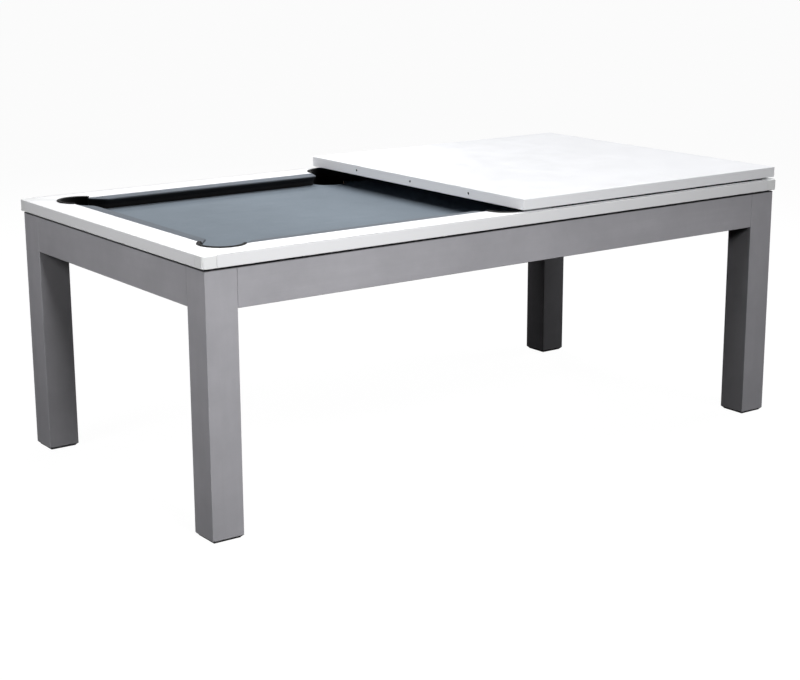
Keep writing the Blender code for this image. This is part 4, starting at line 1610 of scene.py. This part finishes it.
class PoolTableSettings(bpy.types.PropertyGroup):
    """The sizes, colours and lights that a user would change."""

    paint_colour: tint("Paint", (0.400, 0.395, 0.421), "Satin paint of legs and aprons")
    lacquer_colour: tint("Rail lacquer", (0.830, 0.835, 0.850), "White lacquer of the rails")
    corner_colour: tint("Corner lacquer", (0.822, 0.830, 0.835), "White lacquer of the corner blocks")
    top_colour: tint("Top lacquer", (0.855, 0.862, 0.885), "White lacquer of the dining top")
    cloth_colour: tint("Cloth", (0.240, 0.291, 0.345), "Napped cloth of the bed")
    # Painted shade: the cushions' cloth is the bed cloth made darker, for the darker tone of the cushion
    # tops.
    cushion_colour: tint("Cushion cloth", (0.197, 0.223, 0.260), "Tight, darker cloth of the cushions")
    rubber_colour: tint("Rubber", (0.007, 0.007, 0.008), "Black rubber of the pockets")
    # Painted shade: near black under the cushions' noses and at their ends.
    under_nose_shade_colour: tint("Facing", (0.011, 0.011, 0.012), "Black rubber under the cushions' noses")
    board_colour: tint("Board", (0.330, 0.240, 0.160), "Particle board of the bed")
    # Painted shade inside the dowel holes of the dining top.
    hole_shade_colour: tint("Core", (0.012, 0.010, 0.009), "Bare board inside the dowel holes")
    timber_colour: tint("Timber", (0.520, 0.380, 0.220), "Softwood of the beams")
    # Painted shade: near-black strips in the gap under the rails.
    gap_shade_strip_colour: tint("Strip", (0.008, 0.008, 0.009), "Black stain of the strips under the rails")
    steel_colour: tint("Steel", (0.600, 0.600, 0.610), "Zinc plating of brackets and screws")
    felt_colour: tint("Felt", (0.014, 0.014, 0.015), "Black felt of pads and strips")

    rail_edge: metres("Rail edge", 0.0020, "Radius of the rails' edges")
    joint_gap: metres("Joint gap", 0.0006, "Gap between a rail and its corner block")
    joint_softness: ratio("Joint softness", 0.12, "Roundness of a joint's edges, of the rail edge")
    cut_softness: ratio("Cut softness", 0.30, "Roundness of the inner and pocket edges, of the rail edge")
    corner_round: metres("Corner round", 0.0100, "Radius of the corner blocks in plan")
    nose_drop: metres("Nose drop", 0.0030, "How far the cushion's nose lies below the rail")
    nose_height: metres("Nose height", 0.0045, "Upright height of the cushion's nose")
    # Width of the painted shade band along the cushion's nose.
    nose_shade_width: metres("Rubbed width", 0.0090, "Width of the rubbed cloth along the nose")
    hollow: metres("Hollow", 0.0020, "How far the hollow under the nose goes in at the foot")
    hollow_height: metres("Hollow height", 0.0150, "Height of the hollow's turn above the foot")
    nose_overhang: metres("Nose overhang", 0.0200, "How far the nose stands past the cushion's foot")
    cushion_swell: metres("Cushion swell", 0.0006, "How far the stretched cloth may swell")
    cushion_step: metres("Cushion step", 0.0060, "Spacing of the sections along a cushion")
    facing_start: metres("Facing start", 0.0040, "Reach of the cushion where it leaves the rail")
    facing_round: metres("Facing round", 0.0160, "Radius where the nose turns into the pocket")
    facing_gap: metres("Facing gap", 0.0005, "Gap between a cushion's end and the pocket cut")
    middle_slope: bpy.props.FloatProperty(
        name="Middle facing", default=0.25, description="Slope of the cushion ends at the middle pockets"
    )
    cloth_thickness: metres("Cloth thickness", 0.0012, "Thickness of the bed cloth")
    cloth_trim: metres("Cloth trim", 0.0010, "How far the cloth stops short of the bed's edge")
    cloth_fold: metres("Cloth fold", 0.0022, "Radius of the fold into a pocket")
    cloth_wrap: metres("Cloth wrap", 0.0160, "How far the cloth reaches down into a pocket")
    mouth_fade: degrees("Mouth fade", 8.0, "Angle over which the fold dies out at a pocket's sides")
    liner_wall: metres("Liner wall", 0.0045, "Thickness of a pocket liner")
    lip_overlap: metres("Lip overlap", 0.0055, "How far the lip lies over the rail")
    lip_tip: metres("Lip tip", 0.0012, "Length of the rounded end of a lip")
    lip_reach: metres("Lip reach", 0.0011, "How far a lip's ends stand past the pocket cut")
    tip_round: ratio("Tip round", 0.9, "How far the lip's ends close")
    cup_wall: metres("Cup wall", 0.0030, "Thickness of a pocket cup")
    cup_round: metres("Cup round", 0.0120, "Radius between a cup's wall and its floor")
    cup_ribs: bpy.props.IntProperty(name="Cup ribs", default=24, description="Ribs round a cup", min=6)
    rib_depth: metres("Rib depth", 0.0014, "Depth of the grooves between the ribs")
    tab_length: metres("Tab length", 0.0150, "How far a cup's tab stands out")
    tab_width: metres("Tab width", 0.0200, "Width of a cup's tab")
    tab_thickness: metres("Tab thickness", 0.0030, "Thickness of a cup's tab")
    tab_edge: metres("Tab edge", 0.0006, "Radius of a tab's edges")
    screw_radius: metres("Screw head radius", 0.0040, "Radius of a screw's head")
    screw_height: metres("Screw head height", 0.0022, "Height of a screw's head")
    screw_inset: metres("Screw inset", 0.0110, "From a bracket's edge to its screws")
    bracket_thickness: metres("Bracket thickness", 0.0030, "Thickness of the angle brackets")

    overhead_power: watts("Overhead light", 66.0)
    front_power: watts("Front light", 19.0)
    right_power: watts("Right light", 54.0)
    left_power: watts("Left light", 45.0)
    end_power: watts("End light", 45.0)
    back_power: watts("Back light", 62.0)
    world_light: ratio("World light", 0.006, "Brightness of the surroundings")
    floor_reach: metres("Floor reach", 60.0, "Half the width of the floor")
    floor_shade: ratio("Floor shade", 0.06, "How much the floor answers light")
    floor_glow: ratio("Floor glow", 0.965, "The floor's own brightness")
    floor_bounce: ratio("Floor bounce", 0.006, "Light that the floor throws back")
    camera_place: bpy.props.FloatVectorProperty(
        name="Camera place",
        default=(-3.0889, -4.2099, 1.6041),
        description="Where the camera stands",
        subtype="TRANSLATION",
        unit="LENGTH",
    )
    camera_yaw: degrees("Camera yaw", 54.090, "Direction of view in plan, from +X")
    camera_pitch: degrees("Camera pitch", -14.183, "Direction of view above the horizon")
    camera_roll: degrees("Camera roll", -0.236, "Turn about the direction of view")
    lens: bpy.props.FloatProperty(name="Lens", default=76.31, description="Focal length", unit="CAMERA")


STEPS = (
    POOLTABLE_OT_rails,
    POOLTABLE_OT_corner_blocks,
    POOLTABLE_OT_cushions,
    POOLTABLE_OT_bed_cloth,
    POOLTABLE_OT_pocket_liners,
    POOLTABLE_OT_pocket_cups,
    POOLTABLE_OT_screws,
    POOLTABLE_OT_base,
    POOLTABLE_OT_dining_top,
    POOLTABLE_OT_stage,
)


class POOLTABLE_PT_panel(bpy.types.Panel):
    """Lists the steps that build the table"""

    bl_idname = "POOLTABLE_PT_panel"
    bl_label = "Pool Table"
    bl_space_type = "VIEW_3D"
    bl_region_type = "UI"
    bl_category = "Pool Table"

    def draw(self, context):
        column = self.layout.column()
        for step in STEPS:
            column.operator(step.bl_idname)
        column.separator()
        for name in PoolTableSettings.__annotations__:
            column.prop(context.scene.pool_table, name)


def register():
    """Register the classes and the settings."""
    bpy.utils.register_class(PoolTableSettings)
    bpy.types.Scene.pool_table = bpy.props.PointerProperty(type=PoolTableSettings)
    for step in STEPS:
        bpy.utils.register_class(step)
    bpy.utils.register_class(POOLTABLE_PT_panel)


def unregister():
    """Take the classes and the settings away again."""
    bpy.utils.unregister_class(POOLTABLE_PT_panel)
    for step in reversed(STEPS):
        bpy.utils.unregister_class(step)
    del bpy.types.Scene.pool_table
    bpy.utils.unregister_class(PoolTableSettings)


def main():
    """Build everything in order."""
    register()
    bpy.ops.pooltable.rails()
    bpy.ops.pooltable.corner_blocks()
    bpy.ops.pooltable.cushions()
    bpy.ops.pooltable.bed_cloth()
    bpy.ops.pooltable.pocket_liners()
    bpy.ops.pooltable.pocket_cups()
    bpy.ops.pooltable.screws()
    bpy.ops.pooltable.base()
    bpy.ops.pooltable.dining_top()
    bpy.ops.pooltable.stage()


if __name__ == "__main__":
    main()
